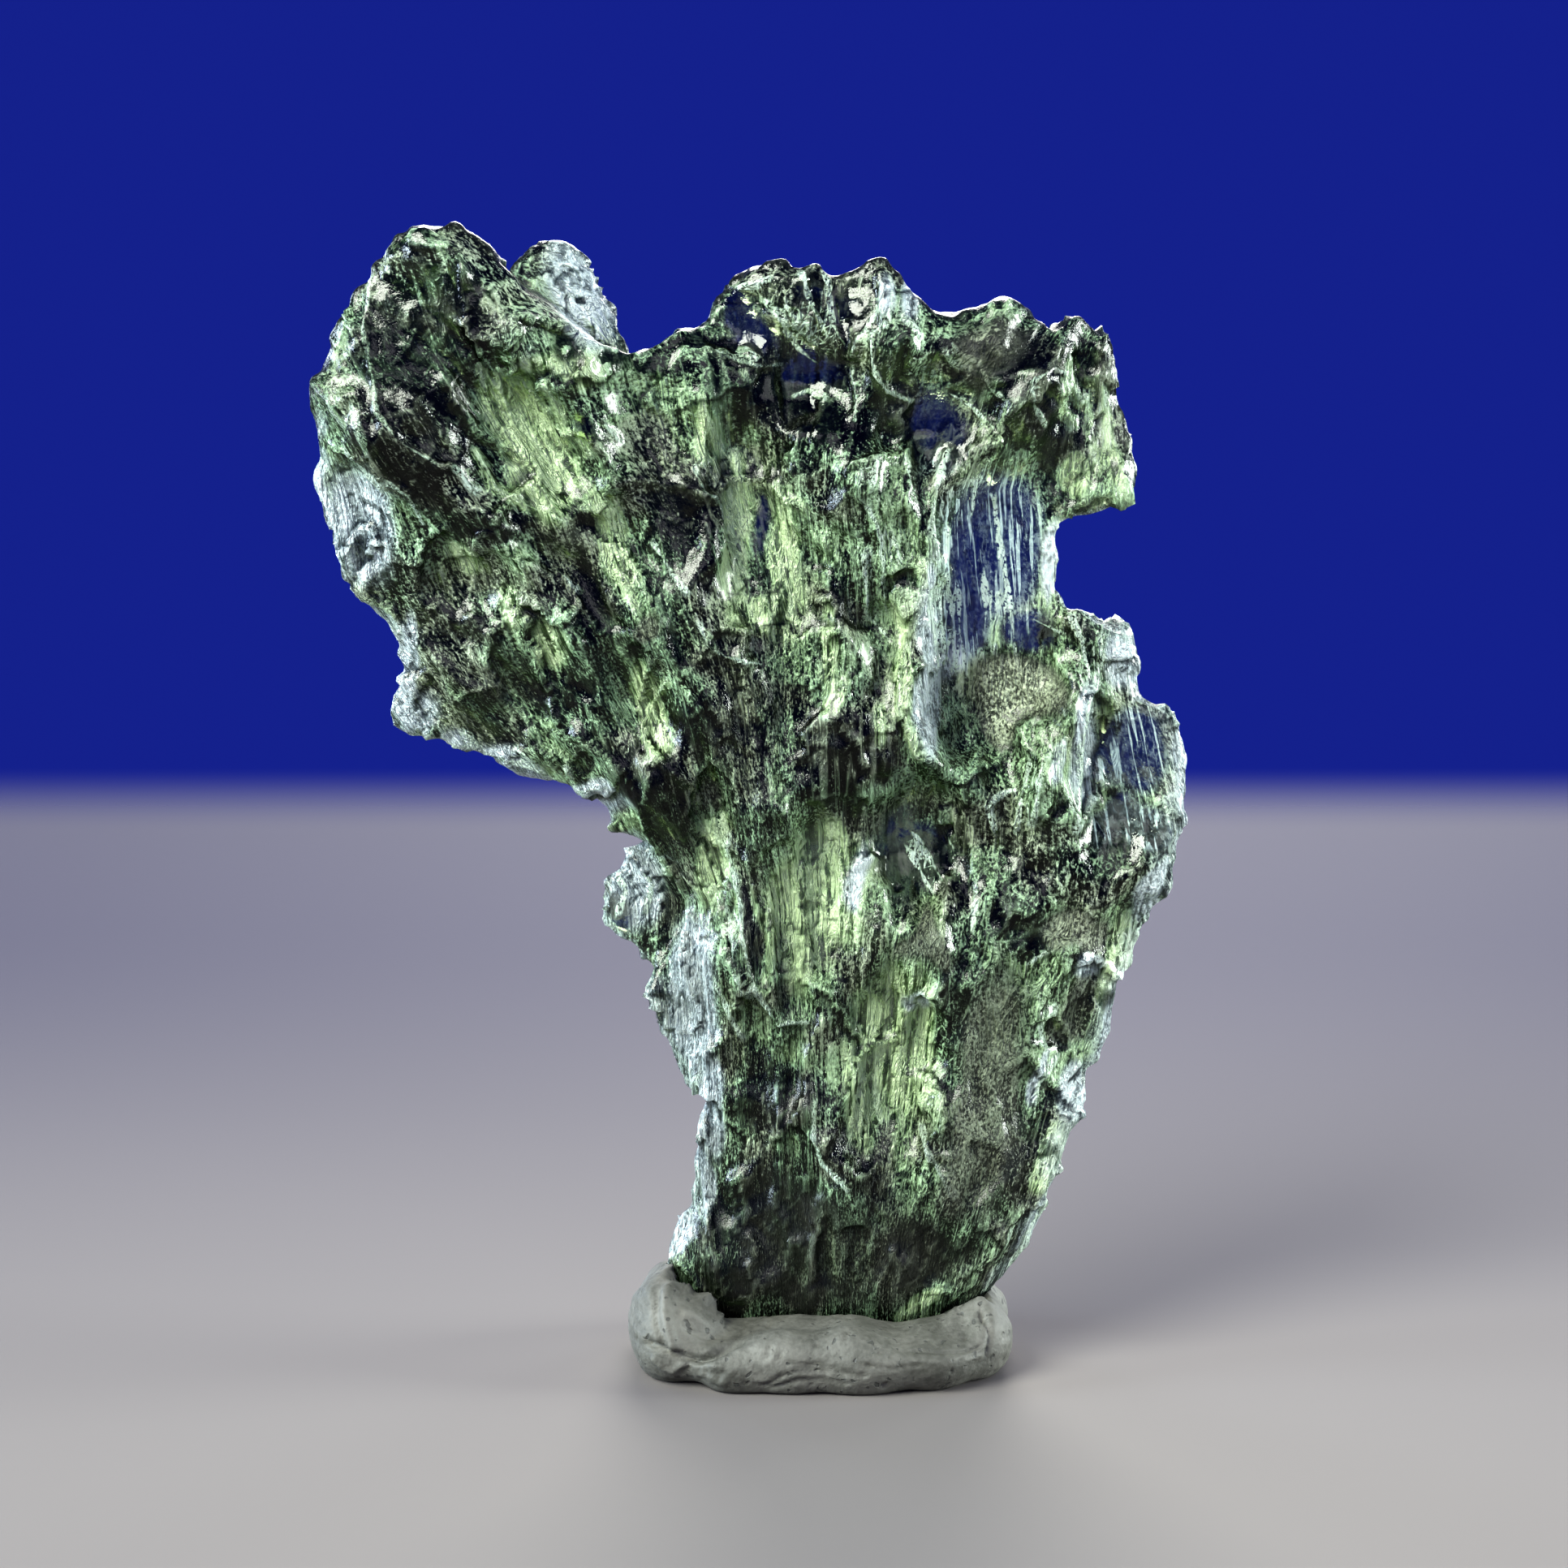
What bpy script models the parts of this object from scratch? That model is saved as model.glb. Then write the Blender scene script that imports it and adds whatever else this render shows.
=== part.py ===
"""Moldavite: one leaf of natural green glass, standing in a foot of grey putty.

The leaf is a thin plate with a torn outline. Acid in the ground has eaten hollows into both of
its faces and left sharp crests between them. Two small flaps grow out of its back. The putty is
one kneaded lump with a slot for the leaf's root.

Lengths in the tables are millimetres: x to the right, z up, y away from the front.
"""

import math

import bmesh
import bpy
import numpy as np
from mathutils import Matrix, Vector

MM = 0.001

# Driving sizes of the leaf
CELL = 0.5  # spacing of the points on its faces
RIM = 0.28  # half its thickness at the torn edge
FRONT_SWELL = 1.45  # how far the front stands out past the rim, well inside the edge
BACK_SWELL = 1.3
SWELL_REACH = 5.5  # distance from the edge at which the swelling is complete
THINNEST = 0.24  # least distance from the middle surface to either face
ROOT_TOP = 5.0  # the relief fades out below this height, where the putty grips
LEAF_SHARE = 0.42  # share of the faces kept when its flatter stretches are thinned out

# Driving sizes of the putty
GRIP_GAP = 0.3  # clearance between the root and its slot
SLOT_HALF_WIDTH = 1.75
LUMP_CELL = 0.42  # spacing of the points on its lumps, before they are thinned out
FOOT_SHARE = 0.5

# The torn outline, from the root up the left side, over the crown and down the right side
LEFT_FOOT = [
    (-2.6, 1.7), (-2.9, 2.8), (-3.1, 3.2), (-3.1, 3.6), (-2.9, 4.1), (-2.7, 4.8), (-2.3, 5.1),
    (-2.1, 5.8), (-2.1, 6.7), (-1.9, 7.7), (-1.7, 8.4), (-1.6, 9.0), (-2.1, 9.3), (-2.5, 9.8),
    (-2.8, 10.5), (-3.0, 11.2), (-3.4, 11.9), (-3.3, 12.8), (-3.1, 13.7),
]
NECK = [
    (-2.5, 14.7), (-2.1, 15.5), (-2.2, 16.1), (-2.6, 16.9), (-3.4, 17.7), (-4.0, 17.8),
    (-4.7, 17.9), (-4.8, 18.9), (-5.5, 19.2), (-5.9, 19.6), (-6.4, 19.8), (-7.3, 19.7),
]
LOWER_LEFT_LOBE = [
    (-7.8, 19.9), (-8.4, 20.2), (-8.7, 20.6), (-9.2, 20.8), (-9.8, 20.8), (-10.1, 21.2),
    (-10.8, 21.1), (-11.3, 21.2), (-11.8, 21.6), (-12.0, 22.0), (-11.5, 22.9), (-11.6, 23.8),
    (-11.7, 24.7), (-11.9, 25.1), (-12.6, 25.5), (-13.2, 26.1),
]
UPPER_LEFT_LOBE = [
    (-13.5, 27.0), (-13.7, 28.1), (-14.0, 29.0), (-14.2, 29.6), (-13.8, 30.2), (-13.8, 30.9),
    (-14.0, 31.6), (-14.2, 32.6), (-13.8, 33.1), (-13.5, 33.6), (-13.4, 34.4), (-12.9, 35.2),
    (-12.5, 35.8), (-12.0, 36.4), (-11.5, 37.2), (-10.9, 37.6), (-10.3, 37.7), (-9.3, 37.8),
    (-8.7, 37.6), (-8.5, 37.3), (-7.8, 36.5), (-7.2, 35.8), (-6.1, 35.0), (-4.9, 33.9),
]
CROWN = [
    (-4.0, 33.6), (-3.2, 33.7), (-2.6, 34.3), (-2.0, 34.4), (-1.5, 34.6), (-1.3, 35.3),
    (-0.6, 36.1), (-0.1, 36.4), (0.8, 36.6), (1.5, 36.3), (2.2, 36.6), (2.3, 36.1), (3.2, 36.2),
    (4.0, 36.8), (4.3, 36.6), (4.5, 36.1), (5.0, 35.8), (5.2, 35.4), (5.8, 34.9), (6.7, 34.9),
    (7.3, 35.1), (7.7, 35.4), (8.1, 35.5), (8.6, 35.2), (9.0, 34.8), (9.4, 34.4), (9.8, 34.3),
]
UPPER_RIGHT_LOBE = [
    (10.2, 34.8), (10.6, 34.8), (10.9, 34.4), (11.4, 34.0), (11.6, 33.7), (11.5, 33.2),
    (11.7, 32.9), (11.6, 32.4), (11.8, 31.8), (12.1, 31.5), (12.2, 30.8), (12.4, 29.7),
    (12.2, 29.2), (11.8, 28.8), (11.4, 28.5), (10.6, 28.3), (9.9, 28.2),
]
RIGHT_EDGE = [
    (9.8, 27.7), (9.9, 26.8), (9.7, 25.9), (10.2, 25.2), (10.6, 25.4), (11.3, 24.7), (12.1, 24.6),
    (12.2, 24.2), (12.6, 23.5), (12.4, 23.0), (12.6, 22.3), (13.4, 22.1), (13.7, 21.9),
    (14.1, 20.9), (14.2, 20.1), (14.1, 18.4), (13.9, 17.5), (13.7, 15.8), (13.2, 15.5),
    (13.0, 14.9), (12.5, 14.4), (12.6, 14.0), (12.4, 13.5), (12.1, 13.0), (11.9, 12.2),
    (11.6, 10.5), (11.1, 9.9), (11.0, 9.2), (10.8, 8.3), (10.4, 7.7), (9.8, 6.1), (9.4, 5.5),
    (9.2, 4.8), (9.1, 3.9), (8.6, 3.4), (7.9, 2.5), (7.1, 1.5),
]
ROOT = [(6.2, 1.1), (4.6, 0.9), (1.6, 0.9), (-1.4, 1.1)]
LEAF_OUTLINE = (
    LEFT_FOOT + NECK + LOWER_LEFT_LOBE + UPPER_LEFT_LOBE + CROWN + UPPER_RIGHT_LOBE + RIGHT_EDGE + ROOT
)

# The flap behind the notch at the top, and the one behind the neck on the left
TOP_FLAP_OUTLINE = [
    (-7.9, 36.2), (-7.4, 36.8), (-7.1, 37.1), (-6.5, 37.2), (-5.9, 37.2), (-5.6, 36.9),
    (-5.3, 36.0), (-4.9, 35.3), (-4.6, 34.9), (-4.4, 34.3), (-4.1, 33.6), (-4.2, 32.2),
    (-5.4, 30.3), (-7.8, 30.7), (-9.4, 33.2), (-9.0, 35.2),
]
LEFT_FLAP_OUTLINE = [
    (-3.5, 17.6), (-4.2, 17.5), (-4.4, 16.9), (-4.9, 16.4), (-5.1, 16.1), (-4.9, 15.4),
    (-5.2, 14.9), (-4.9, 14.6), (-4.4, 14.3), (-3.9, 13.9), (-3.9, 13.3), (-3.4, 13.4),
    (-2.4, 12.3), (0.6, 13.1), (1.0, 15.9), (-0.6, 17.5),
]
TOP_FLAP_MIDDLE = (1.0, 0.22, 32.8)  # y at its middle height, lean back per mm of height, height
LEFT_FLAP_MIDDLE = (0.5, -0.05, 15.5)
FLAP_HALF_THICKNESS = 0.42

# Hollows: x, z, half width, half length, lean to the left in degrees, depth
FRONT_HOLLOWS = [
    (-10.4, 34.6, 1.9, 3.2, 40, 0.7),
    (-7.5, 31.1, 1.6, 3.5, 32, 1.45),
    (-12.9, 27.9, 1.3, 2.7, 8, 1.3),
    (-9.6, 26.6, 2.3, 2.7, 30, 0.6),
    (-6.0, 26.9, 1.6, 3.2, 35, 0.75),
    (-11.0, 22.6, 1.3, 1.6, 20, 0.9),
    (-7.6, 22.6, 2.6, 1.9, 50, 0.5),
    (-4.0, 23.2, 1.3, 2.8, 25, 0.8),
    (-3.0, 30.1, 1.6, 3.6, 14, 0.9),
    (0.1, 29.1, 1.4, 3.4, 6, 1.3),
    (1.8, 32.8, 1.6, 1.6, 0, 1.35),
    (-0.4, 34.5, 1.2, 1.1, 0, 1.1),
    (2.7, 35.1, 1.5, 1.5, 0, 0.9),
    (5.4, 31.4, 2.0, 2.0, 30, 1.4),
    (4.1, 25.0, 0.8, 3.2, 0, 0.8),
    (7.8, 25.0, 2.6, 5.6, 0, 2.0),
    (11.0, 31.7, 1.3, 2.9, 20, 0.8),
    (9.3, 29.3, 1.7, 1.7, 0, 1.1),
    (12.2, 19.8, 1.9, 3.0, -8, 1.35),
    (11.3, 23.2, 1.1, 1.6, 20, 0.8),
    (5.3, 17.4, 1.9, 2.2, 0, 1.25),
    (2.1, 16.3, 1.4, 3.4, 4, 1.35),
    (-1.3, 17.9, 1.0, 3.7, 8, 0.9),
    (4.5, 10.6, 1.8, 3.2, 10, 1.3),
    (0.3, 11.6, 2.1, 2.9, 12, 0.7),
    (-2.4, 11.2, 1.2, 2.6, 0, 1.1),
    (7.8, 9.7, 2.1, 4.2, 0, 0.4),
    (0.0, 6.6, 2.2, 2.9, 0, 0.5),
    (8.5, 17.5, 1.6, 2.0, 0, 0.6),
    (10.6, 10.3, 0.9, 1.8, -14, 1.0),
    (12.3, 14.5, 0.9, 1.6, -14, 0.9),
    (0.6, 21.8, 1.9, 2.5, 0, 0.6),
]
BACK_HOLLOWS = [
    (-9.8, 33.2, 2.8, 3.2, 20, 1.0),
    (-12.6, 28.1, 1.5, 2.9, 8, 0.9),
    (-7.2, 29.4, 2.1, 3.2, 32, 1.1),
    (-8.6, 24.6, 2.3, 2.6, 35, 0.8),
    (-3.4, 30.7, 2.0, 2.9, 10, 0.8),
    (-4.2, 25.0, 1.9, 3.4, 28, 0.9),
    (-0.4, 34.2, 1.6, 1.6, 0, 0.9),
    (2.2, 33.0, 1.9, 2.4, 0, 1.0),
    (0.4, 28.1, 2.0, 3.6, 4, 1.0),
    (5.6, 31.6, 2.2, 2.1, 20, 1.1),
    (4.2, 26.6, 1.7, 3.2, -4, 0.7),
    (9.0, 32.4, 1.8, 1.8, 0, 0.8),
    (7.9, 25.4, 2.3, 4.6, 0, 1.15),
    (11.3, 30.7, 1.2, 2.6, 10, 0.6),
    (1.2, 21.4, 2.2, 3.1, 8, 1.0),
    (-1.6, 18.4, 1.7, 3.4, 16, 0.8),
    (5.4, 17.8, 1.9, 2.4, 0, 1.0),
    (8.8, 18.2, 1.6, 3.0, -10, 0.7),
    (12.3, 19.6, 1.6, 3.0, -8, 1.0),
    (2.2, 15.4, 1.7, 3.4, 2, 0.9),
    (-1.4, 11.9, 1.9, 2.8, -6, 0.8),
    (7.6, 12.9, 2.0, 3.0, -8, 0.7),
    (4.3, 9.9, 1.9, 3.0, 0, 0.9),
    (0.6, 7.4, 1.9, 2.6, 0, 0.6),
    (9.4, 8.4, 1.3, 3.0, -16, 0.6),
]

# Places where both faces are eaten in until little glass is left: x, z, half width, half length,
# lean to the left in degrees, thickness left
THIN_SPOTS = [
    (-7.3, 30.7, 1.4, 2.9, 35, 0.8),
    (-4.7, 28.4, 0.9, 2.0, 35, 1.0),
    (-3.7, 21.8, 0.7, 1.6, 10, 1.0),
    (-0.8, 28.9, 0.7, 3.2, 4, 0.9),
    (1.1, 26.8, 1.0, 2.7, 0, 0.9),
    (2.1, 15.8, 1.5, 2.9, 4, 0.8),
    (4.6, 10.2, 1.5, 3.0, 6, 0.9),
    (-1.6, 17.0, 0.6, 2.2, 10, 1.1),
    (11.0, 30.6, 1.2, 2.9, 6, 0.8),
    (7.7, 26.0, 2.1, 4.9, 0, 0.5),
    (12.3, 20.0, 1.5, 2.6, -8, 0.55),
    (5.2, 17.7, 1.7, 1.9, 0, 0.8),
    (5.6, 31.6, 1.9, 1.5, 20, 0.8),
    (1.6, 33.3, 1.5, 1.5, 0, 0.7),
    (-0.4, 34.9, 1.2, 1.0, 0, 0.7),
    (-12.9, 27.8, 1.0, 2.6, 8, 0.55),
    (9.9, 10.4, 0.7, 2.2, -18, 0.9),
    (12.0, 14.2, 0.8, 1.6, -14, 0.9),
]

# Crests left standing on the front: height, half width, then points along the crest
FRONT_CRESTS = [
    (0.95, 0.55, [(7.4, 30.9), (6.2, 29.6), (5.7, 27.8), (5.2, 24.8), (5.2, 22.2), (5.9, 20.5), (7.4, 19.4)]),
    (0.55, 0.5, [(3.4, 30.8), (3.8, 28.1), (4.5, 26.5)]),
    (0.6, 0.55, [(-1.6, 33.5), (-1.3, 31.3), (-1.6, 29.2), (-1.1, 26.5)]),
    (0.55, 0.55, [(-5.1, 28.1), (-3.7, 24.8), (-3.5, 21.7)]),
    (0.7, 0.5, [(10.6, 23.8), (10.0, 21.1), (9.0, 19.5), (8.4, 18.1)]),
    (0.55, 0.45, [(-1.1, 16.3), (-0.3, 13.4), (1.2, 11.8)]),
    (0.6, 0.7, [(-12.6, 31.3), (-9.4, 29.1), (-6.1, 25.5), (-3.5, 21.1), (-2.1, 16.3)]),
    (0.5, 0.6, [(2.0, 19.6), (3.6, 14.5), (6.2, 9.4), (6.4, 5.4)]),
]
BACK_CRESTS = [
    (0.6, 0.6, [(-8.4, 35.8), (-6.4, 30.7), (-4.4, 25.7), (-1.8, 19.6), (-0.4, 13.5), (0.6, 7.4)]),
    (0.5, 0.55, [(3.0, 35.4), (2.8, 29.7), (3.4, 23.6), (4.6, 17.5), (5.6, 10.4)]),
    (0.5, 0.55, [(10.2, 33.6), (9.6, 28.5), (10.8, 23.0), (12.4, 18.5), (10.0, 11.4)]),
    (0.45, 0.5, [(-12.8, 31.7), (-10.6, 27.3), (-7.4, 23.8), (-4.4, 20.2)]),
]

# Lumps of the putty: centre x, y, z, then half sizes
PUTTY_LUMPS = [
    ((2.1, 0.2, 0.6), (6.3, 4.0, 1.3)),
    ((-2.75, -0.5, 1.35), (1.6, 2.9, 1.95)),
    ((-2.6, 1.9, 1.2), (1.7, 1.6, 1.5)),
    ((-0.6, -3.0, 0.7), (1.5, 1.1, 0.95)),
    ((1.2, -3.1, 0.95), (1.8, 1.15, 1.2)),
    ((3.4, -3.1, 1.0), (2.2, 1.2, 1.3)),
    ((5.6, -2.6, 1.1), (2.0, 1.4, 1.35)),
    ((7.3, -0.9, 1.25), (1.35, 2.3, 1.6)),
    ((7.2, 1.2, 1.2), (1.4, 2.0, 1.5)),
    ((4.8, 2.9, 1.0), (2.6, 1.3, 1.4)),
    ((1.4, 3.0, 1.1), (2.7, 1.3, 1.45)),
    ((-0.9, 2.8, 1.0), (1.9, 1.3, 1.4)),
]


def empty_scene():
    for thing in list(bpy.data.objects):
        bpy.data.objects.remove(thing)


def new_collection(name):
    collection = bpy.data.collections.new(name)
    bpy.context.scene.collection.children.link(collection)
    return collection


def flat_plate(name, outline, half_thickness, grown=0.0):
    """The outline as a filled 2D curve, stood upright in the XZ plane and made a closed mesh."""
    curve = bpy.data.curves.new(name + "_outline", "CURVE")
    curve.dimensions = "2D"
    curve.fill_mode = "BOTH"
    curve.extrude = half_thickness
    curve.offset = grown
    spline = curve.splines.new("POLY")
    spline.points.add(len(outline) - 1)
    for point, (x, z) in zip(spline.points, outline):
        point.co = (x, z, 0.0, 1.0)
    spline.use_cyclic_u = True
    guide = bpy.data.objects.new(name + "_guide", curve)
    bpy.context.scene.collection.objects.link(guide)
    graph = bpy.context.evaluated_depsgraph_get()
    mesh = bpy.data.meshes.new_from_object(guide.evaluated_get(graph))
    bpy.data.objects.remove(guide)
    mesh.name = name
    mesh.transform(Matrix.Rotation(math.radians(90), 4, "X"))
    return mesh


def cut_into_cells(work, cell):
    """Cuts a plate along a grid of upright and level planes, and once through its middle."""
    bmesh.ops.remove_doubles(work, verts=work.verts, dist=cell / 50)
    for axis in (0, 2):
        places = [vertex.co[axis] for vertex in work.verts]
        for step in range(math.ceil(min(places) / cell), math.floor(max(places) / cell) + 1):
            normal = Vector((0.0, 0.0, 0.0))
            normal[axis] = 1.0
            everything = work.verts[:] + work.edges[:] + work.faces[:]
            bmesh.ops.bisect_plane(
                work, geom=everything, dist=cell / 50, plane_co=normal * step * cell, plane_no=normal
            )
    bmesh.ops.remove_doubles(work, verts=work.verts, dist=cell * 0.3)
    everything = work.verts[:] + work.edges[:] + work.faces[:]
    bmesh.ops.bisect_plane(work, geom=everything, dist=cell / 50, plane_co=(0, 0, 0), plane_no=(0, 1, 0))


def distance_to_line(x, z, points, closed=False):
    """Distance from each place to the nearest stretch of a line of points."""
    ends = points[1:] + points[:1] if closed else points[1:]
    nearest = np.full(x.shape, np.inf)
    for (ax, az), (bx, bz) in zip(points, ends):
        length = max((bx - ax) ** 2 + (bz - az) ** 2, 1e-12)
        along = np.clip(((x - ax) * (bx - ax) + (z - az) * (bz - az)) / length, 0, 1)
        nearest = np.minimum(nearest, np.hypot(x - ax - along * (bx - ax), z - az - along * (bz - az)))
    return nearest


def smooth_rise(value, low, high):
    share = np.clip((value - low) / (high - low), 0, 1)
    return share * share * (3 - 2 * share)


def quarter_round(distance, reach):
    share = np.clip(distance / reach, 0, 1)
    return np.sqrt(share * (2 - share))


def hollow_depth(x, z, hollows):
    """The deepest of the bowls at each place. Where two bowls meet, a sharp crest is left."""
    deepest = np.zeros(x.shape)
    for cx, cz, half_width, half_length, lean, depth in hollows:
        turn = math.radians(lean)
        across = ((x - cx) * math.cos(turn) + (z - cz) * math.sin(turn)) / half_width
        along = ((z - cz) * math.cos(turn) - (x - cx) * math.sin(turn)) / half_length
        deepest = np.maximum(deepest, depth * np.clip(1 - across**2 - along**2, 0, None))
    return deepest


def crest_height(x, z, crests):
    highest = np.zeros(x.shape)
    for height, half_width, points in crests:
        away = distance_to_line(x, z, points)
        highest = np.maximum(highest, height * np.clip(1 - away / half_width, 0, None))
    return highest


def leaf_middle(x, z):
    """How far the middle of the leaf stands back from the XZ plane: its upper left curls forward
    and its right side curls back."""
    upper_left = smooth_rise(z, 22, 34) * smooth_rise(-x, 1, 11)
    right_side = smooth_rise(x, 2, 11) * smooth_rise(z, 8, 20)
    ripple = 0.3 * np.sin(0.5 * x + 0.24 * z) * smooth_rise(z, 6, 14)
    return -1.5 * upper_left + 0.9 * right_side + ripple


def thin_down(x, z, front, back):
    """Takes equal glass off both faces at the thin spots, which fade out well past their edges."""
    for cx, cz, half_width, half_length, lean, left in THIN_SPOTS:
        turn = math.radians(lean)
        across = ((x - cx) * math.cos(turn) + (z - cz) * math.sin(turn)) / half_width
        along = ((z - cz) * math.cos(turn) - (x - cx) * math.sin(turn)) / half_length
        ragged = 0.1 * np.sin(5.1 * x + 1.7 * z) + 0.07 * np.sin(8.7 * x - 3.1 * z)
        share = 1 - smooth_rise(np.hypot(across, along) + ragged, 0.35, 1.75)
        less = share * np.clip(front + back - left, 0, None) / 2
        front, back = front - less, back - less
    return front, back


def face_offset(x, z, outline, swell, hollows, crests):
    """Distance from the leaf's middle surface to one of its faces."""
    inside = distance_to_line(x, z, outline, closed=True)
    body = RIM + swell * quarter_round(inside, SWELL_REACH)
    relief = crest_height(x, z, crests) * smooth_rise(inside, 0.0, 1.2) - hollow_depth(x, z, hollows)
    relief = relief * smooth_rise(z, ROOT_TOP - 3.0, ROOT_TOP)
    root = 1 - smooth_rise(z, ROOT_TOP - 3.0, ROOT_TOP + 2.0)
    body = body * (1 - root) + np.minimum(body, 1.35) * root
    return np.maximum(body + relief, np.minimum(THINNEST, RIM))


def shape_plate(mesh, shape):
    """Cuts a flat plate into cells and moves its two faces to where shape(x, z, side) says."""
    work = bmesh.new()
    work.from_mesh(mesh)
    cut_into_cells(work, CELL)
    places = np.array([vertex.co[:] for vertex in work.verts])
    x, side, z = places[:, 0], np.sign(np.round(places[:, 1], 3)), places[:, 2]
    for vertex, y in zip(work.verts, shape(x, z, side)):
        vertex.co.y = y
    inner = [vertex for vertex, face in zip(work.verts, side) if face != 0]
    bmesh.ops.smooth_vert(work, verts=inner, factor=0.35, use_axis_y=True)
    bmesh.ops.triangulate(work, faces=work.faces)
    bmesh.ops.recalc_face_normals(work, faces=work.faces)
    work.to_mesh(mesh)
    work.free()


def leaf_shape(x, z, side):
    front = face_offset(x, z, LEAF_OUTLINE, FRONT_SWELL, FRONT_HOLLOWS, FRONT_CRESTS)
    back = face_offset(x, z, LEAF_OUTLINE, BACK_SWELL, BACK_HOLLOWS, BACK_CRESTS)
    front, back = thin_down(x, z, front, back)
    return leaf_middle(x, z) + np.where(side < 0, -front, np.where(side > 0, back, 0.0))


def flap_shape(outline, middle):
    offset, lean, middle_height = middle

    def shape(x, z, side):
        inside = distance_to_line(x, z, outline, closed=True)
        half = FLAP_HALF_THICKNESS * (0.55 + 0.45 * quarter_round(inside, 1.2))
        ripple = 0.12 * np.sin(2.1 * x + 1.3 * z)
        return leaf_middle(x, z) + offset + lean * (z - middle_height) + side * half + ripple

    return shape


def add_object(name, mesh, collection):
    mesh.transform(Matrix.Scale(MM, 4))
    made = bpy.data.objects.new(name, mesh)
    collection.objects.link(made)
    return made


def boolean(target, operation, other):
    modifier = target.modifiers.new(operation.lower() + "_" + other.name, "BOOLEAN")
    modifier.operation = operation
    modifier.object = other


def thin_out(target, share):
    modifier = target.modifiers.new("thin_out", "DECIMATE")
    modifier.ratio = share
    modifier.use_collapse_triangulate = True


def helper(thing):
    thing.hide_render = True
    thing.display_type = "WIRE"


def glass_leaf(parts, cutters):
    plate = flat_plate("moldavite", LEAF_OUTLINE, 1.0)
    shape_plate(plate, leaf_shape)
    leaf = add_object("moldavite", plate, parts)
    flaps = [
        ("top_flap", TOP_FLAP_OUTLINE, TOP_FLAP_MIDDLE),
        ("left_flap", LEFT_FLAP_OUTLINE, LEFT_FLAP_MIDDLE),
    ]
    for name, outline, middle in flaps:
        plate = flat_plate(name, outline, 1.0)
        shape_plate(plate, flap_shape(outline, middle))
        flap = add_object(name, plate, cutters)
        helper(flap)
        boolean(leaf, "UNION", flap)
    thin_out(leaf, LEAF_SHARE)
    return leaf


def putty_foot(parts, cutters):
    work = bmesh.new()
    for centre, half_sizes in PUTTY_LUMPS:
        place = Matrix.Translation(centre) @ Matrix.Diagonal((*half_sizes, 1.0))
        bmesh.ops.create_uvsphere(work, u_segments=20, v_segments=12, radius=1.0, matrix=place)
    mesh = bpy.data.meshes.new("putty_foot")
    work.to_mesh(mesh)
    work.free()
    foot = add_object("putty_foot", mesh, parts)
    remesh = foot.modifiers.new("knead", "REMESH")
    remesh.mode = "VOXEL"
    remesh.voxel_size = LUMP_CELL * MM
    smooth = foot.modifiers.new("soften", "SMOOTH")
    smooth.iterations = 4
    thin_out(foot, FOOT_SHARE)
    flat = new_cutter("table", (40, 40, 20), (0, 0, -10), cutters)
    boolean(foot, "DIFFERENCE", flat)
    slot = flat_plate("root_slot", LEAF_OUTLINE, SLOT_HALF_WIDTH, GRIP_GAP)
    slot = add_object("root_slot", slot, cutters)
    helper(slot)
    boolean(foot, "DIFFERENCE", slot)
    return foot


def new_cutter(name, sizes, centre, cutters):
    work = bmesh.new()
    place = Matrix.Translation(centre) @ Matrix.Diagonal((*sizes, 1.0))
    bmesh.ops.create_cube(work, size=1.0, matrix=place)
    mesh = bpy.data.meshes.new(name)
    work.to_mesh(mesh)
    work.free()
    cutter = add_object(name, mesh, cutters)
    helper(cutter)
    return cutter


def give_material(thing, name, colour, roughness, transmission=0.0):
    material = bpy.data.materials.new(name)
    material.use_nodes = True
    shader = material.node_tree.nodes["Principled BSDF"]
    shader.inputs["Base Color"].default_value = (*colour, 1.0)
    shader.inputs["Roughness"].default_value = roughness
    shader.inputs["Metallic"].default_value = 0.0
    shader.inputs["Transmission Weight"].default_value = transmission
    thing.data.materials.append(material)


def main():
    empty_scene()
    parts = new_collection("moldavite_on_putty")
    cutters = new_collection("cutters")
    leaf = glass_leaf(parts, cutters)
    give_material(leaf, "green_glass", (0.16, 0.27, 0.08), 0.25, 0.8)
    foot = putty_foot(parts, cutters)
    give_material(foot, "grey_putty", (0.30, 0.29, 0.27), 0.7)


main()
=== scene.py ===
import math

import bpy
import numpy as np
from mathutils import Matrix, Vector
from mathutils.bvhtree import BVHTree


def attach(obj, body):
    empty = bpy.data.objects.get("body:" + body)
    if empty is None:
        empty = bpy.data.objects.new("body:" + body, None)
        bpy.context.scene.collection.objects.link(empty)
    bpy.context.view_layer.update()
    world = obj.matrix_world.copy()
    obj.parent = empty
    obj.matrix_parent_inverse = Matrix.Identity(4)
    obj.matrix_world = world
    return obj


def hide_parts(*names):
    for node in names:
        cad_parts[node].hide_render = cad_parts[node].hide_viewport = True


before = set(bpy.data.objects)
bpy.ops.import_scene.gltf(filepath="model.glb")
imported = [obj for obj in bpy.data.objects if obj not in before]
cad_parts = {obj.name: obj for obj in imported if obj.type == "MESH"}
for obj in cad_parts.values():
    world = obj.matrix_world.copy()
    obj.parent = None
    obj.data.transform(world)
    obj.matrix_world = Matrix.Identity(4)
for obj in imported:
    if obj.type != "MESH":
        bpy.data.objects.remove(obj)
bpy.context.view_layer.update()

mm = 0.001


def deselectAll():
    if bpy.context.object and bpy.context.object.mode != "OBJECT":
        bpy.ops.object.mode_set(mode="OBJECT")
    bpy.ops.object.select_all(action="DESELECT")


def makeActive(piece):
    deselectAll()
    piece.select_set(True)
    bpy.context.view_layer.objects.active = piece


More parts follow.
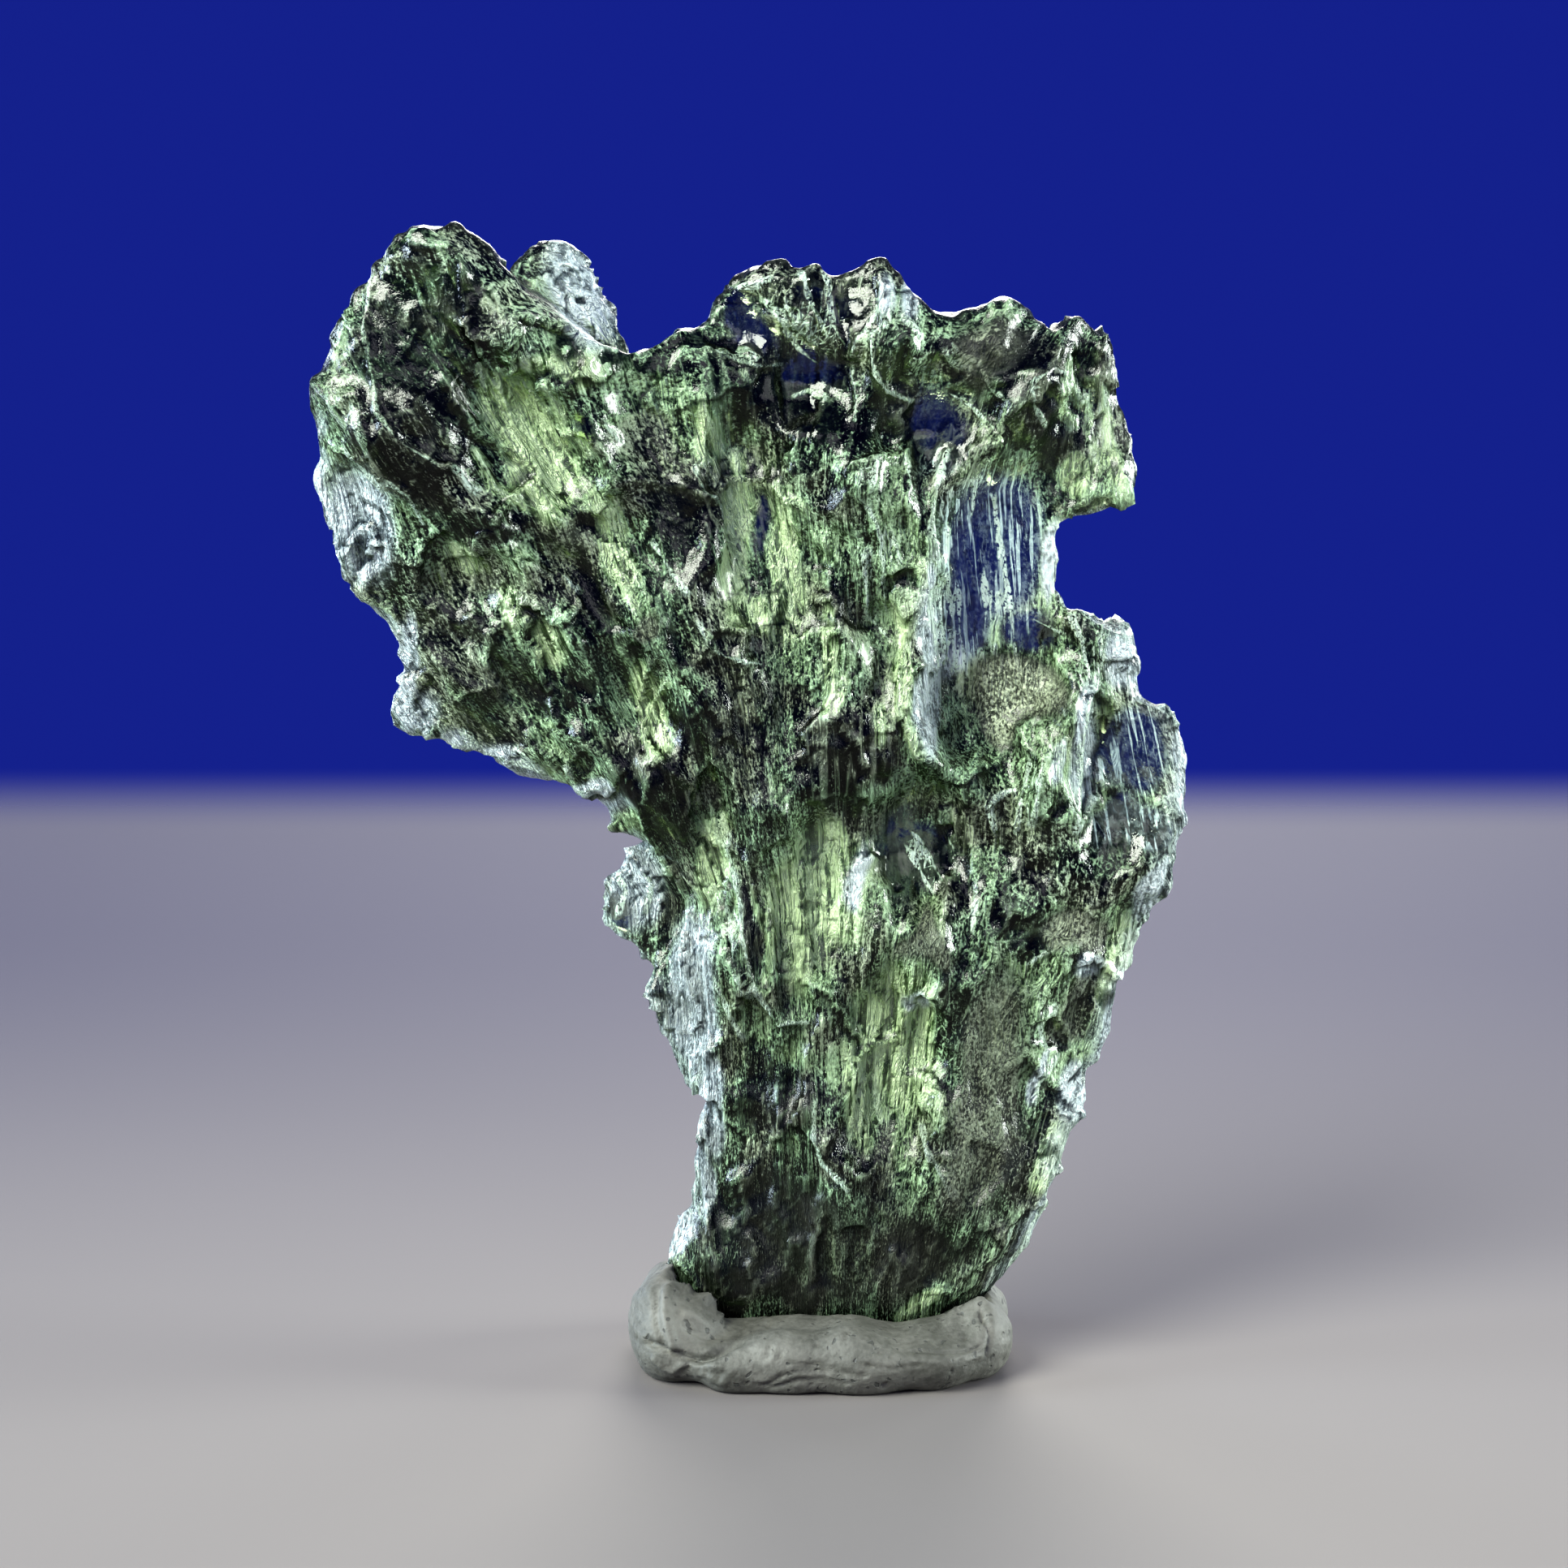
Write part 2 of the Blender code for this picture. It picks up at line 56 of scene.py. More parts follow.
def applyModifier(piece, kind, **settings):
    makeActive(piece)
    modifier = piece.modifiers.new(kind.title(), kind)
    for setting, value in settings.items():
        setattr(modifier, setting, value)
    bpy.ops.object.modifier_apply(modifier=modifier.name)


def copyOfSolid(node, name):
    piece = bpy.data.objects.new(name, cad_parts[node].data.copy())
    bpy.context.scene.collection.objects.link(piece)
    piece.data.name = name
    piece.data.materials.clear()
    makeActive(piece)
    bpy.ops.object.mode_set(mode="EDIT")
    bpy.ops.mesh.select_all(action="SELECT")
    bpy.ops.mesh.remove_doubles(threshold=0.001 * mm)
    bpy.ops.object.mode_set(mode="OBJECT")
    return piece


def readPoints(piece):
    count = len(piece.data.vertices)
    points = np.zeros(count * 3)
    normals = np.zeros(count * 3)
    piece.data.vertices.foreach_get("co", points)
    piece.data.vertices.foreach_get("normal", normals)
    return points.reshape(-1, 3) / mm, normals.reshape(-1, 3)


def writePoints(piece, points):
    piece.data.vertices.foreach_set("co", (points * mm).ravel())
    piece.data.update()


def ease(value, low, high):
    share = np.clip((value - low) / (high - low), 0, 1)
    return share * share * (3 - 2 * share)


def hashed(i, j, k, seed):
    key = (i * 374761393 + j * 668265263 + k * 2246822519 + seed * 3266489917) & 0xFFFFFFFF
    key = ((key ^ (key >> 15)) * 2654435761) & 0xFFFFFFFF
    key = ((key ^ (key >> 13)) * 1274126177) & 0xFFFFFFFF
    return ((key ^ (key >> 16)) & 0xFFFF) / 65535


def softNoise(u, v, w, seed):
    # smooth noise from -1 to 1, one swing to each unit
    base = [np.floor(c).astype(np.int64) for c in (u, v, w)]
    part = [c - b for c, b in zip((u, v, w), base)]
    part = [p * p * (3 - 2 * p) for p in part]
    total = 0
    for a in (0, 1):
        for b in (0, 1):
            for c in (0, 1):
                weight = (part[0] if a else 1 - part[0]) * (part[1] if b else 1 - part[1])
                weight = weight * (part[2] if c else 1 - part[2])
                total = total + weight * hashed(base[0] + a, base[1] + b, base[2] + c, seed)
    return total * 2 - 1


def scales(u, v, seed):
    # hollows set side by side like scales: how far from the middle of the nearest one (up to the
    # sharp crest where two meet), how it tips, a number from 0 to 1 that is its own, and how near
    # the crest is: above 0 on the high side of a step, below 0 on the low side; the colouring
    # turns this into a painted highlight on the high side and a painted shadow on the low side
    baseU, baseV = np.floor(u).astype(np.int64), np.floor(v).astype(np.int64)
    nearest, second = np.full(u.shape, 9.0), np.full(u.shape, 9.0)
    tip, own, nextTip = np.zeros(u.shape), np.zeros(u.shape), np.zeros(u.shape)
    for a in (-1, 0, 1):
        for b in (-1, 0, 1):
            i, j = baseU + a, baseV + b
            du = i + 0.15 + 0.7 * hashed(i, j, 0, seed) - u
            dv = j + 0.15 + 0.7 * hashed(i, j, 1, seed) - v
            away = du * du + dv * dv
            closer = away < nearest
            tipped = (hashed(i, j, 2, seed) - 0.5) * du + (hashed(i, j, 3, seed) - 0.5) * dv
            nextTip = np.where(closer, tip, np.where(away < second, tipped, nextTip))
            tip = np.where(closer, tipped, tip)
            own = np.where(closer, hashed(i, j, 4, seed), own)
            second = np.where(closer, nearest, np.minimum(second, away))
            nearest = np.minimum(nearest, away)
    seam = 1 - ease(np.sqrt(second) - np.sqrt(nearest), 0.03, 0.20)
    return np.minimum(nearest, 1.0), tip, own, seam * np.clip((tip - nextTip) * 8, -1, 1)


# lines that fan out from the root as the molten glass flowed: each one's share of the way across
# the leaf, then (height, x) along it, in mm
flowGuides = {
    0.00: [(2.3, -2.1), (15.7, -2.9), (19.8, -6.1), (26.5, -13.3), (31.9, -14.6), (38.0, -16.0)],
    0.15: [(2.3, -0.8), (15.7, -1.6), (21.7, -4.5), (27.8, -8.8), (32.4, -13.5), (38.0, -19.2)],
    0.30: [(2.3, 0.8), (15.7, 0.0), (22.5, -1.9), (28.7, -5.1), (35.6, -12.1), (38.0, -14.6)],
    0.50: [(2.3, 2.1), (15.7, 1.8), (26.5, 0.8), (33.2, -0.8), (37.2, -2.1), (38.0, -2.4)],
    0.75: [(2.3, 4.5), (15.7, 6.6), (23.8, 6.6), (29.2, 6.1), (33.2, 7.9), (35.1, 9.8), (38.0, 11.9)],
    1.00: [(2.3, 7.7), (10.4, 11.6), (17.1, 14.0), (23.8, 12.4), (29.2, 12.2), (34.6, 11.9), (38.0, 12.5)],
}


def flowPlace(x, z):
    # across: mm across the flow, where the leaf is of middling width; along: mm from the root
    width = 20
    shares = sorted(flowGuides)
    lines = []
    for share in shares:
        heights, places = zip(*flowGuides[share])
        lines.append(np.interp(z, heights, places))
    lines = np.sort(np.array(lines), axis=0)
    across = np.zeros(x.shape)
    for index in range(len(shares) - 1):
        left, right = lines[index], lines[index + 1]
        inside = np.clip((x - left) / np.maximum(right - left, 0.5), 0, 1)
        across = across + inside * (shares[index + 1] - shares[index])
    beyond = np.minimum(x - lines[0], 0) / width + np.maximum(x - lines[-1], 0) / width
    return width * (across + beyond), np.hypot(0.8 * (x - 2), z)


leaf = {
    "cell": 0.150,            # mm, spacing of the points on its skin
    "softenCorners": 3,       # rounds of smoothing
    "broadScales": (2.3, 4.2, 0.75, 0.55),    # width across the flow, length along it, depth, tip (mm)
    "smallScales": (0.9, 1.9, 0.34, 0.18),
    "flowRidges": (0.34, 5.0, 0.09),
    "seamHeight": 0.10,       # mm, of the broken crests between the broad scales
    "strokes": 620,           # single crests that run with the flow
    "bundle": 4,              # so many of them lie side by side
    "strokeLength": (0.8, 4.5),
    "strokeHeight": (0.05, 0.17),
    "strokeWidth": (0.16, 0.28),
    "strokeBend": 0.12,
    "glowPaintedChip": (5.45, 2.35, 0.85, 0.30, 38),    # a chip just above the putty, painted with a bright yellow-green glow
    "fineGrain": (0.3, 0.02),                    # size and height, mm
    "rimNibble": (0.45, 0.16),
    "rimFrostHighlight": 0.8,          # how pale the torn edge is painted: frosting with a painted highlight
    "rimDullness": 0.45,      # how worn it is at the crown
    "rimFrostEnds": (27, 32),                    # mm, heights over which the rim changes
    # heights over which painted shade darkens the rim at the crown
    "rimShadePainted": (28, 33),
    "rimDulls": (27, 31),
    "footDarkness": 0.15,
    "footDarkens": (5, 9),
    "ridgesStart": (7, 14),
    "gripped": (2.0, 3.4),    # held smooth in the putty up to here
    "leastWall": 0.36,        # the relief fades where the glass is thinner than about this
    "furthestWall": 8.0,
    "fullCrestHighlight": 0.12,        # a crest this high gets the fullest painted highlight
}

# places where the glass is thin and clear: x, z, half width, half length, lean to the left
clearPlaces = [
    (7.6, 27.3, 1.8, 2.5, 0), (9.0, 24.6, 0.9, 0.9, 0), (6.8, 24.8, 1.0, 1.6, 0),
    (12.4, 20.6, 1.3, 1.4, -8), (5.1, 17.2, 1.4, 1.6, 0), (1.6, 32.8, 1.5, 0.9, 10),
    (-0.2, 34.6, 0.85, 1.0, 0), (5.8, 31.0, 1.0, 1.4, -10), (2.1, 31.6, 0.9, 0.7, 0),
    (2.9, 34.9, 0.6, 0.5, 0), (1.8, 35.6, 0.6, 0.6, 0), (-4.4, 15.2, 0.4, 0.6, 20),
    (0.2, 28.2, 0.25, 0.9, 0), (-5.3, 31.5, 0.35, 0.7, 30), (12.2, 18.2, 1.4, 1.0, 0),
]

# places worn to a dull, even skin: x, z, half width, half length, lean, how light
mattePlaces = [
    (8.5, 22.0, 1.7, 1.4, 0, 1.0), (7.6, 9.4, 1.6, 5.2, -4, 0.58), (2.6, 4.0, 5.2, 2.8, 0, 0.44),
    (10.4, 15.2, 1.6, 0.9, 0, 0.75), (5.6, 14.4, 1.2, 0.7, 0, 0.6), (-3.2, 25.0, 0.6, 0.9, 20, 0.6),
    (7.4, 33.9, 1.7, 1.1, 0, 0.62),
]

# places painted with the yellow-green glow of light from behind, where a frosted back also lets real light
# through
glowPaintedPlaces = [
    (-7.3, 31.0, 1.0, 2.6, 32), (-6.9, 29.4, 0.9, 1.3, 50), (-6.0, 33.4, 1.4, 0.5, 0),
    (-4.5, 27.6, 0.4, 2.0, 20), (-0.6, 27.2, 0.5, 2.3, 0), (1.1, 27.4, 0.6, 1.7, 0),
    (0.4, 25.4, 1.2, 0.7, 0), (-1.4, 31.2, 0.3, 1.3, 0), (-1.5, 17.4, 0.45, 1.6, 4),
    (-3.4, 22.0, 0.45, 1.6, 14), (1.5, 15.6, 0.9, 2.5, 0), (3.2, 16.7, 0.6, 1.5, 0),
    (2.4, 16.4, 1.1, 2.1, 0), (4.5, 11.5, 1.3, 2.6, 0), (5.3, 12.0, 0.5, 1.6, 0),
    (3.6, 9.2, 0.5, 1.4, 0), (5.5, 10.4, 0.4, 1.2, 0), (9.6, 7.2, 0.4, 1.4, -20),
    (11.9, 13.4, 0.6, 1.8, -14), (9.7, 26.9, 0.4, 1.3, 0), (11.6, 30.6, 0.35, 1.5, 12),
    (2.3, 24.4, 0.4, 1.0, 0), (2.5, 22.6, 0.25, 0.7, -14), (-6.4, 24.4, 0.7, 0.8, 0),
    (10.3, 29.3, 0.7, 0.8, 0), (4.8, 23.6, 0.2, 2.6, 0), (-9.4, 27.0, 0.4, 0.9, 30),
    (-7.7, 25.8, 0.35, 0.8, 30),
]

# places where the skin is cleaner, with fewer grains, and painted dark as painted shade where little light
# comes through the glass
cleanShadePaintedPlaces = [
    (12.0, 33.6, 0.8, 1.0, 0), (10.2, 30.2, 0.8, 0.9, 0), (-10.6, 33.4, 2.2, 3.0, 24),
    (1.0, 33.4, 2.4, 2.0, 0), (8.6, 33.2, 2.2, 1.4, 0), (11.4, 32.9, 1.0, 1.2, 0),
    (-9.7, 35.4, 1.0, 1.4, 30), (-10.8, 30.1, 1.4, 0.6, -28), (-12.2, 32.6, 0.6, 2.0, 24),
    (-9.9, 32.6, 0.7, 1.0, 0), (-1.9, 28.3, 0.8, 1.6, 0), (-4.9, 25.6, 0.5, 2.0, 26),
    (-2.0, 21.4, 1.6, 1.0, 0), (4.2, 31.6, 1.2, 0.9, 0), (2.4, 31.6, 1.4, 0.8, 0),
    (0.6, 5.4, 2.6, 1.6, 0), (-0.1, 14.8, 0.4, 1.8, 6), (0.6, 2.9, 3.0, 0.8, 0),
    (2.8, 20.4, 1.8, 1.4, 0), (-8.6, 28.4, 1.2, 0.6, 20), (3.8, 27.9, 0.25, 0.6, 0),
    (0.6, 9.4, 1.8, 1.2, 0), (-3.4, 19.2, 0.9, 1.6, 30), (-6.2, 22.8, 1.4, 0.8, 0),
    (6.3, 17.8, 0.6, 1.6, 0), (5.6, 4.0, 1.4, 1.2, 0), (-9.6, 24.8, 1.2, 0.8, 0),
    (8.4, 15.2, 0.9, 0.8, 0), (9.8, 31.6, 1.6, 1.6, 0), (6.6, 33.6, 1.4, 0.9, 0),
]

# places where the skin is frosted and painted pale all over, mostly along the rim: partly frosting, partly a
# painted highlight where the edges catch the light
frostAndHighlightPlaces = [
    (-8.3, 20.35, 2.3, 0.55, -21), (-5.3, 19.3, 1.4, 0.5, -12), (10.9, 20.9, 0.45, 2.3, -4),
    (-12.6, 28.3, 1.1, 2.1, 10), (-13.8, 28.6, 0.3, 2.6, 10), (-5.6, 35.5, 0.9, 2.1, 28),
    (-11.2, 23.4, 0.5, 1.8, 0), (-11.0, 21.9, 0.8, 0.7, 0), (-2.0, 12.4, 0.8, 2.8, 0),
    (-1.5, 9.4, 0.35, 2.4, 0), (-1.9, 6.8, 0.3, 1.8, 12), (-3.9, 16.2, 1.0, 1.5, 0),
    (-2.6, 4.4, 0.5, 1.0, -40), (14.0, 19.6, 0.35, 2.9, 0), (12.0, 23.7, 0.7, 1.0, 20),
    (9.6, 26.9, 0.35, 1.2, 0), (10.7, 9.2, 0.5, 1.0, -16), (10.9, 13.8, 0.5, 0.6, 0),
    (11.7, 11.6, 0.35, 1.6, -10), (13.1, 16.0, 0.4, 1.6, -16), (5.7, 22.4, 0.6, 1.6, 0),
    (5.6, 25.4, 0.4, 2.6, 0), (9.9, 20.3, 0.28, 0.6, 0), (6.4, 23.4, 0.5, 0.7, 0),
    (9.4, 5.6, 0.25, 1.8, -28), (3.3, 16.9, 0.35, 1.1, 0), (5.2, 12.6, 0.35, 0.4, 0),
    (9.4, 9.8, 0.25, 0.9, -20), (5.0, 35.3, 0.35, 0.6, 0), (4.1, 35.6, 0.4, 0.8, 0),
]

# clear places scored with fine pale lines, painted as streaks of light from behind coming through
scoredPlaces = [(7.3, 27.0, 2.2, 4.0, 0), (6.6, 23.6, 1.4, 2.2, 0), (12.4, 19.8, 1.5, 2.2, -8)]

# bands along an edge painted pale as a painted highlight: left (-1) or right (1), from this height to that,
# this wide
highlightEdgeBands = [(1, 1.5, 25.5, 0.7), (-1, 3.0, 16.5, 0.5), (-1, 20.0, 33.0, 0.3)]

# crests that stand out on the front, their tops painted pale as a painted highlight: height, half width,
# then points along the crest, all in mm
highlightedCrests = [
    (0.24, 0.20, [(-10.6, 21.3), (-9.6, 20.9), (-8.7, 20.7), (-8.0, 20.3), (-7.3, 20.1), (-6.4, 19.8),
                  (-5.4, 19.5)]),
    (0.18, 0.15, [(-9.4, 21.3), (-8.8, 20.7), (-9.0, 20.4)]),
    (0.18, 0.15, [(-7.7, 20.8), (-7.1, 20.3), (-6.9, 19.8)]),
    (0.18, 0.15, [(-6.1, 20.3), (-5.6, 19.6), (-5.0, 19.6)]),
    (0.16, 0.14, [(-4.6, 16.6), (-4.3, 15.9), (-4.5, 15.3)]),
    (0.16, 0.14, [(-3.9, 16.9), (-3.4, 16.2), (-3.6, 15.4)]),
    (0.16, 0.16, [(-13.4, 32.3), (-13.0, 31.6)]), (0.16, 0.16, [(-12.6, 32.0), (-12.1, 30.7)]),
    (0.16, 0.16, [(-12.9, 30.9), (-12.5, 30.0), (-12.0, 29.4)]),
    (0.16, 0.16, [(-11.5, 29.7), (-10.9, 29.2), (-10.6, 28.4)]),
    (0.22, 0.18, [(-12.1, 36.0), (-12.3, 34.5), (-12.0, 33.0), (-11.8, 31.9), (-11.2, 31.0),
                  (-10.2, 30.4)]),
    (0.14, 0.16, [(-9.4, 30.1), (-8.8, 29.5)]), (0.14, 0.16, [(-4.8, 31.7), (-4.2, 31.0)]),
    (0.14, 0.16, [(-6.3, 26.8), (-5.7, 26.2)]),
    (0.15, 0.16, [(-3.2, 27.6), (-2.8, 26.9), (-2.2, 26.2)]),
    (0.18, 0.17, [(-1.9, 30.0), (-1.7, 29.3), (-1.2, 28.8), (-1.05, 27.6)]),
    (0.16, 0.16, [(-1.7, 25.0), (-1.5, 24.4), (-0.9, 24.05), (0.1, 23.8)]),
    (0.16, 0.16, [(3.4, 29.9), (3.35, 29.2), (3.9, 28.3), (4.1, 27.6), (4.1, 26.4), (4.2, 25.5)]),
    (0.16, 0.16, [(3.55, 27.2), (3.55, 26.2), (3.7, 25.3), (4.2, 24.6)]),
    (0.14, 0.15, [(4.4, 28.0), (4.6, 27.2)]), (0.16, 0.15, [(4.5, 30.7), (4.8, 30.0), (4.95, 29.4)]),
    (0.14, 0.15, [(3.7, 30.1), (3.7, 29.5)]),
    (0.20, 0.18, [(-1.0, 33.75), (-0.5, 33.45), (0.0, 33.25), (0.7, 33.25)]),
    (0.18, 0.15, [(-0.5, 35.75), (0.0, 35.75), (0.35, 35.95)]),
    (0.14, 0.14, [(-0.4, 33.75), (0.1, 33.5)]),
    (0.16, 0.14, [(0.4, 35.2), (0.85, 34.9), (0.95, 34.4), (1.3, 33.85), (1.8, 33.45)]),
    (0.16, 0.14, [(1.05, 35.1), (1.3, 34.5), (1.8, 34.0), (2.3, 33.7)]),
    (0.14, 0.14, [(1.4, 34.9), (1.8, 34.3), (2.3, 33.9)]),
    (0.18, 0.14, [(1.5, 36.1), (1.65, 35.6), (1.8, 35.1), (2.2, 34.4), (2.5, 33.9)]),
    (0.18, 0.14, [(2.25, 36.3), (2.35, 35.6), (2.4, 35.0), (2.5, 34.5), (2.75, 34.1)]),
    (0.16, 0.14, [(3.1, 33.7), (3.45, 34.3), (3.8, 34.9)]),
    (0.16, 0.14, [(4.35, 35.9), (4.35, 35.2), (4.15, 34.6)]),
    (0.22, 0.16, [(3.75, 34.3), (3.65, 33.5), (3.8, 33.0), (4.2, 32.5), (4.9, 32.2)]),
    (0.16, 0.16, [(4.8, 34.8), (5.2, 34.3)]), (0.14, 0.14, [(3.05, 33.0), (3.15, 32.4), (3.2, 31.8)]),
    (0.14, 0.14, [(1.35, 32.3), (1.7, 32.45), (2.15, 32.25)]),
    (0.14, 0.13, [(6.1, 33.6), (6.3, 33.3), (6.7, 33.15)]),
    (0.14, 0.13, [(6.4, 33.85), (6.6, 33.5), (7.0, 33.4)]),
    (0.16, 0.14, [(7.3, 33.0), (7.5, 32.5), (7.8, 32.3)]),
    (0.16, 0.14, [(6.3, 32.3), (6.9, 31.95), (7.5, 31.4)]),
    (0.18, 0.16, [(8.8, 32.4), (8.9, 32.0), (9.3, 31.4)]),
    (0.16, 0.16, [(8.9, 32.8), (9.3, 33.1), (9.8, 32.9)]),
    (0.30, 0.20, [(6.2, 30.4), (5.8, 29.4), (5.6, 28.2), (5.6, 27.2)]),
    (0.14, 0.14, [(5.7, 27.6), (5.65, 25.5), (5.9, 23.6)]),
    (0.14, 0.14, [(5.95, 27.0), (6.0, 25.0), (6.2, 23.6)]),
    (0.14, 0.14, [(6.2, 28.0), (6.15, 26.5), (6.4, 25.0), (6.5, 23.4)]),
    (0.14, 0.14, [(6.6, 26.0), (6.65, 24.6), (6.9, 23.2)]), (0.14, 0.14, [(7.05, 29.5), (7.0, 28.5)]),
    (0.16, 0.14, [(7.7, 28.9), (7.9, 27.5), (8.2, 26.0), (8.4, 24.5), (8.5, 23.7), (8.8, 23.1)]),
    (0.16, 0.18, [(7.9, 25.7), (7.8, 24.0)]), (0.14, 0.15, [(7.4, 26.4), (7.5, 25.3), (7.4, 23.8)]),
    (0.12, 0.13, [(9.2, 24.9), (9.8, 24.6)]), (0.14, 0.16, [(10.3, 25.0), (10.7, 24.0), (10.9, 23.0)]),
    (0.24, 0.24, [(11.2, 25.0), (11.2, 24.0), (11.1, 23.0), (10.8, 22.0), (10.7, 21.0), (10.6, 19.5),
                  (10.5, 18.2)]),
    (0.22, 0.22, [(10.0, 21.0), (9.9, 20.2), (10.2, 19.0), (10.4, 18.2)]),
    (0.18, 0.18, [(9.6, 20.9), (9.2, 19.8), (9.0, 18.5)]),
    (0.18, 0.18, [(8.9, 20.3), (8.6, 19.2), (8.5, 18.2)]),
    (0.16, 0.16, [(8.2, 19.5), (7.6, 19.0), (7.8, 18.2)]), (0.14, 0.14, [(6.1, 18.3), (6.4, 17.6)]),
    (0.12, 0.13, [(5.2, 17.9), (6.0, 16.6)]), (0.12, 0.13, [(5.0, 17.4), (5.7, 16.2)]),
    (0.14, 0.15, [(7.2, 16.4), (7.1, 15.1)]), (0.12, 0.14, [(9.0, 13.8), (9.6, 14.2)]),
    (0.22, 0.18, [(-1.0, 18.0), (-0.8, 16.8), (-0.5, 15.8), (-0.45, 14.8), (-0.2, 13.6), (0.3, 12.5),
                  (0.8, 11.9), (1.6, 11.9)]),
    (0.16, 0.15, [(-0.95, 16.0), (-0.8, 14.8), (-0.6, 13.8), (-0.2, 12.9)]),
    (0.14, 0.15, [(-1.3, 13.2), (-1.0, 12.4), (-0.5, 11.4)]),
    (0.14, 0.15, [(1.95, 9.2), (1.95, 8.2), (2.2, 7.3), (2.9, 6.5)]),
    (0.14, 0.16, [(2.15, 6.0), (2.2, 5.5), (2.0, 4.8), (1.8, 4.2)]),
    (0.14, 0.15, [(5.5, 8.2), (5.9, 7.2), (6.5, 6.2)]),
    (0.16, 0.18, [(9.9, 10.4), (9.3, 9.5), (9.2, 8.6)]),
    (0.16, 0.16, [(9.8, 12.1), (9.4, 11.6), (9.5, 10.9)]),
    (0.16, 0.22, [(9.5, 6.0), (9.0, 5.0), (8.8, 4.0), (8.3, 3.0), (7.6, 1.9)]),
    (0.12, 0.14, [(8.0, 3.8), (8.4, 4.8)]),
]

# crests painted with the yellow-green glow of light coming through
glowPaintedCrests = [
    (0.20, 0.16, [(-8.8, 30.6), (-8.2, 29.5), (-7.4, 28.9), (-6.2, 28.4)]),
    (0.15, 0.15, [(-8.6, 33.2), (-8.3, 31.8)]),
    (0.15, 0.15, [(-8.1, 32.9), (-7.6, 31.0), (-6.9, 29.9)]),
    (0.15, 0.15, [(-7.3, 32.6), (-6.8, 31.2), (-6.2, 29.9)]),
    (0.14, 0.14, [(-6.6, 32.8), (-6.1, 31.6), (-5.4, 30.5)]),
    (0.16, 0.16, [(-4.7, 28.6), (-4.6, 27.6), (-4.1, 26.6), (-3.9, 25.6)]),
    (0.15, 0.14, [(-4.3, 28.2), (-4.2, 27.4), (-3.8, 26.6)]),
    (0.16, 0.15, [(-1.5, 32.0), (-1.5, 31.0), (-1.6, 30.3)]),
    (0.14, 0.14, [(-1.3, 31.5), (-1.0, 30.6)]),
    (0.15, 0.15, [(-0.6, 30.4), (-0.5, 29.5), (-0.7, 28.4)]),
    (0.14, 0.15, [(2.8, 23.3), (2.4, 22.9), (2.3, 22.2)]), (0.14, 0.15, [(0.9, 29.4), (1.7, 28.8)]),
    (0.24, 0.17, [(5.3, 27.0), (5.2, 25.5), (4.85, 24.5), (4.65, 23.5), (4.65, 22.5), (4.9, 21.6),
                  (5.3, 20.8)]),
    (0.15, 0.15, [(4.0, 22.2), (4.0, 21.2)]), (0.16, 0.15, [(3.1, 11.0), (3.15, 9.6), (3.25, 8.4)]),
    (0.16, 0.15, [(3.6, 9.9), (3.5, 8.4)]), (0.15, 0.15, [(4.0, 9.9), (4.15, 8.6)]),
    (0.15, 0.15, [(4.6, 10.0), (5.0, 9.0)]), (0.15, 0.15, [(5.2, 10.4), (5.5, 9.4)]),
    (0.15, 0.16, [(-3.0, 23.1), (-3.4, 22.2), (-3.5, 21.2)]),
    (0.15, 0.15, [(-1.2, 18.6), (-1.1, 17.6), (-1.0, 16.8)]),
    (0.18, 0.22, [(4.8, 1.8), (5.3, 2.3), (6.0, 2.6)]),
    (0.20, 0.15, [(9.8, 32.8), (9.9, 32.0), (10.3, 31.3)]),
    (0.20, 0.15, [(10.1, 33.3), (10.2, 32.6), (10.6, 31.9)]),
    (0.14, 0.15, [(11.3, 32.4), (11.4, 31.2), (11.7, 29.9)]),
    (0.14, 0.15, [(10.7, 32.2), (10.8, 31.0), (11.1, 29.9)]),
]


def wallBehind(piece, points, normals):
    # thickness of the glass straight behind each point, in mm
    tree = BVHTree.FromPolygons(
        [Vector(p) for p in points], [tuple(face.vertices) for face in piece.data.polygons]
    )
    furthest = leaf["furthestWall"]
    wall = np.full(len(points), furthest)
    for index, (point, normal) in enumerate(zip(points, normals)):
        inward = -Vector(normal)
        hit = tree.ray_cast(Vector(point) + inward * 0.02, inward, furthest)
        if hit[0] is not None:
            wall[index] = hit[3]
    return wall


def nearLine(x, z, line):
    # distance to the line, and the same with a sign that tells its two sides apart
    nearest, signed = np.full(x.shape, 99.0), np.full(x.shape, 99.0)
    for (ax, az), (bx, bz) in zip(line, line[1:]):
        length = (bx - ax) ** 2 + (bz - az) ** 2
        along = np.clip(((x - ax) * (bx - ax) + (z - az) * (bz - az)) / length, 0, 1)
        away = np.hypot(x - ax - along * (bx - ax), z - az - along * (bz - az))
        side = ((x - ax) * (bz - az) - (z - az) * (bx - ax)) / math.sqrt(length)
        signed = np.where(away < nearest, side, signed)
        nearest = np.minimum(nearest, away)
    return nearest, signed


def nearPlaces(x, z, places, inner=0.75, outer=1.15, torn=1.0):
    # 1 inside the ellipses, fading to 0 past their edges, which are torn a little out of shape
    most = np.zeros(x.shape)
    x, z = (x + 0.5 * torn * softNoise(x / 0.9, z / 1.6, x * 0, 31),
            z + 0.9 * torn * softNoise(x / 0.8, z / 1.8, x * 0, 32))
    for cx, cz, halfWidth, halfLength, lean in places:
        turn = math.radians(lean)
        side = ((x - cx) * math.cos(turn) + (z - cz) * math.sin(turn)) / halfWidth
        up = ((z - cz) * math.cos(turn) - (x - cx) * math.sin(turn)) / halfLength
        most = np.maximum(most, 1 - ease(np.hypot(side, up), inner, outer))
    return most


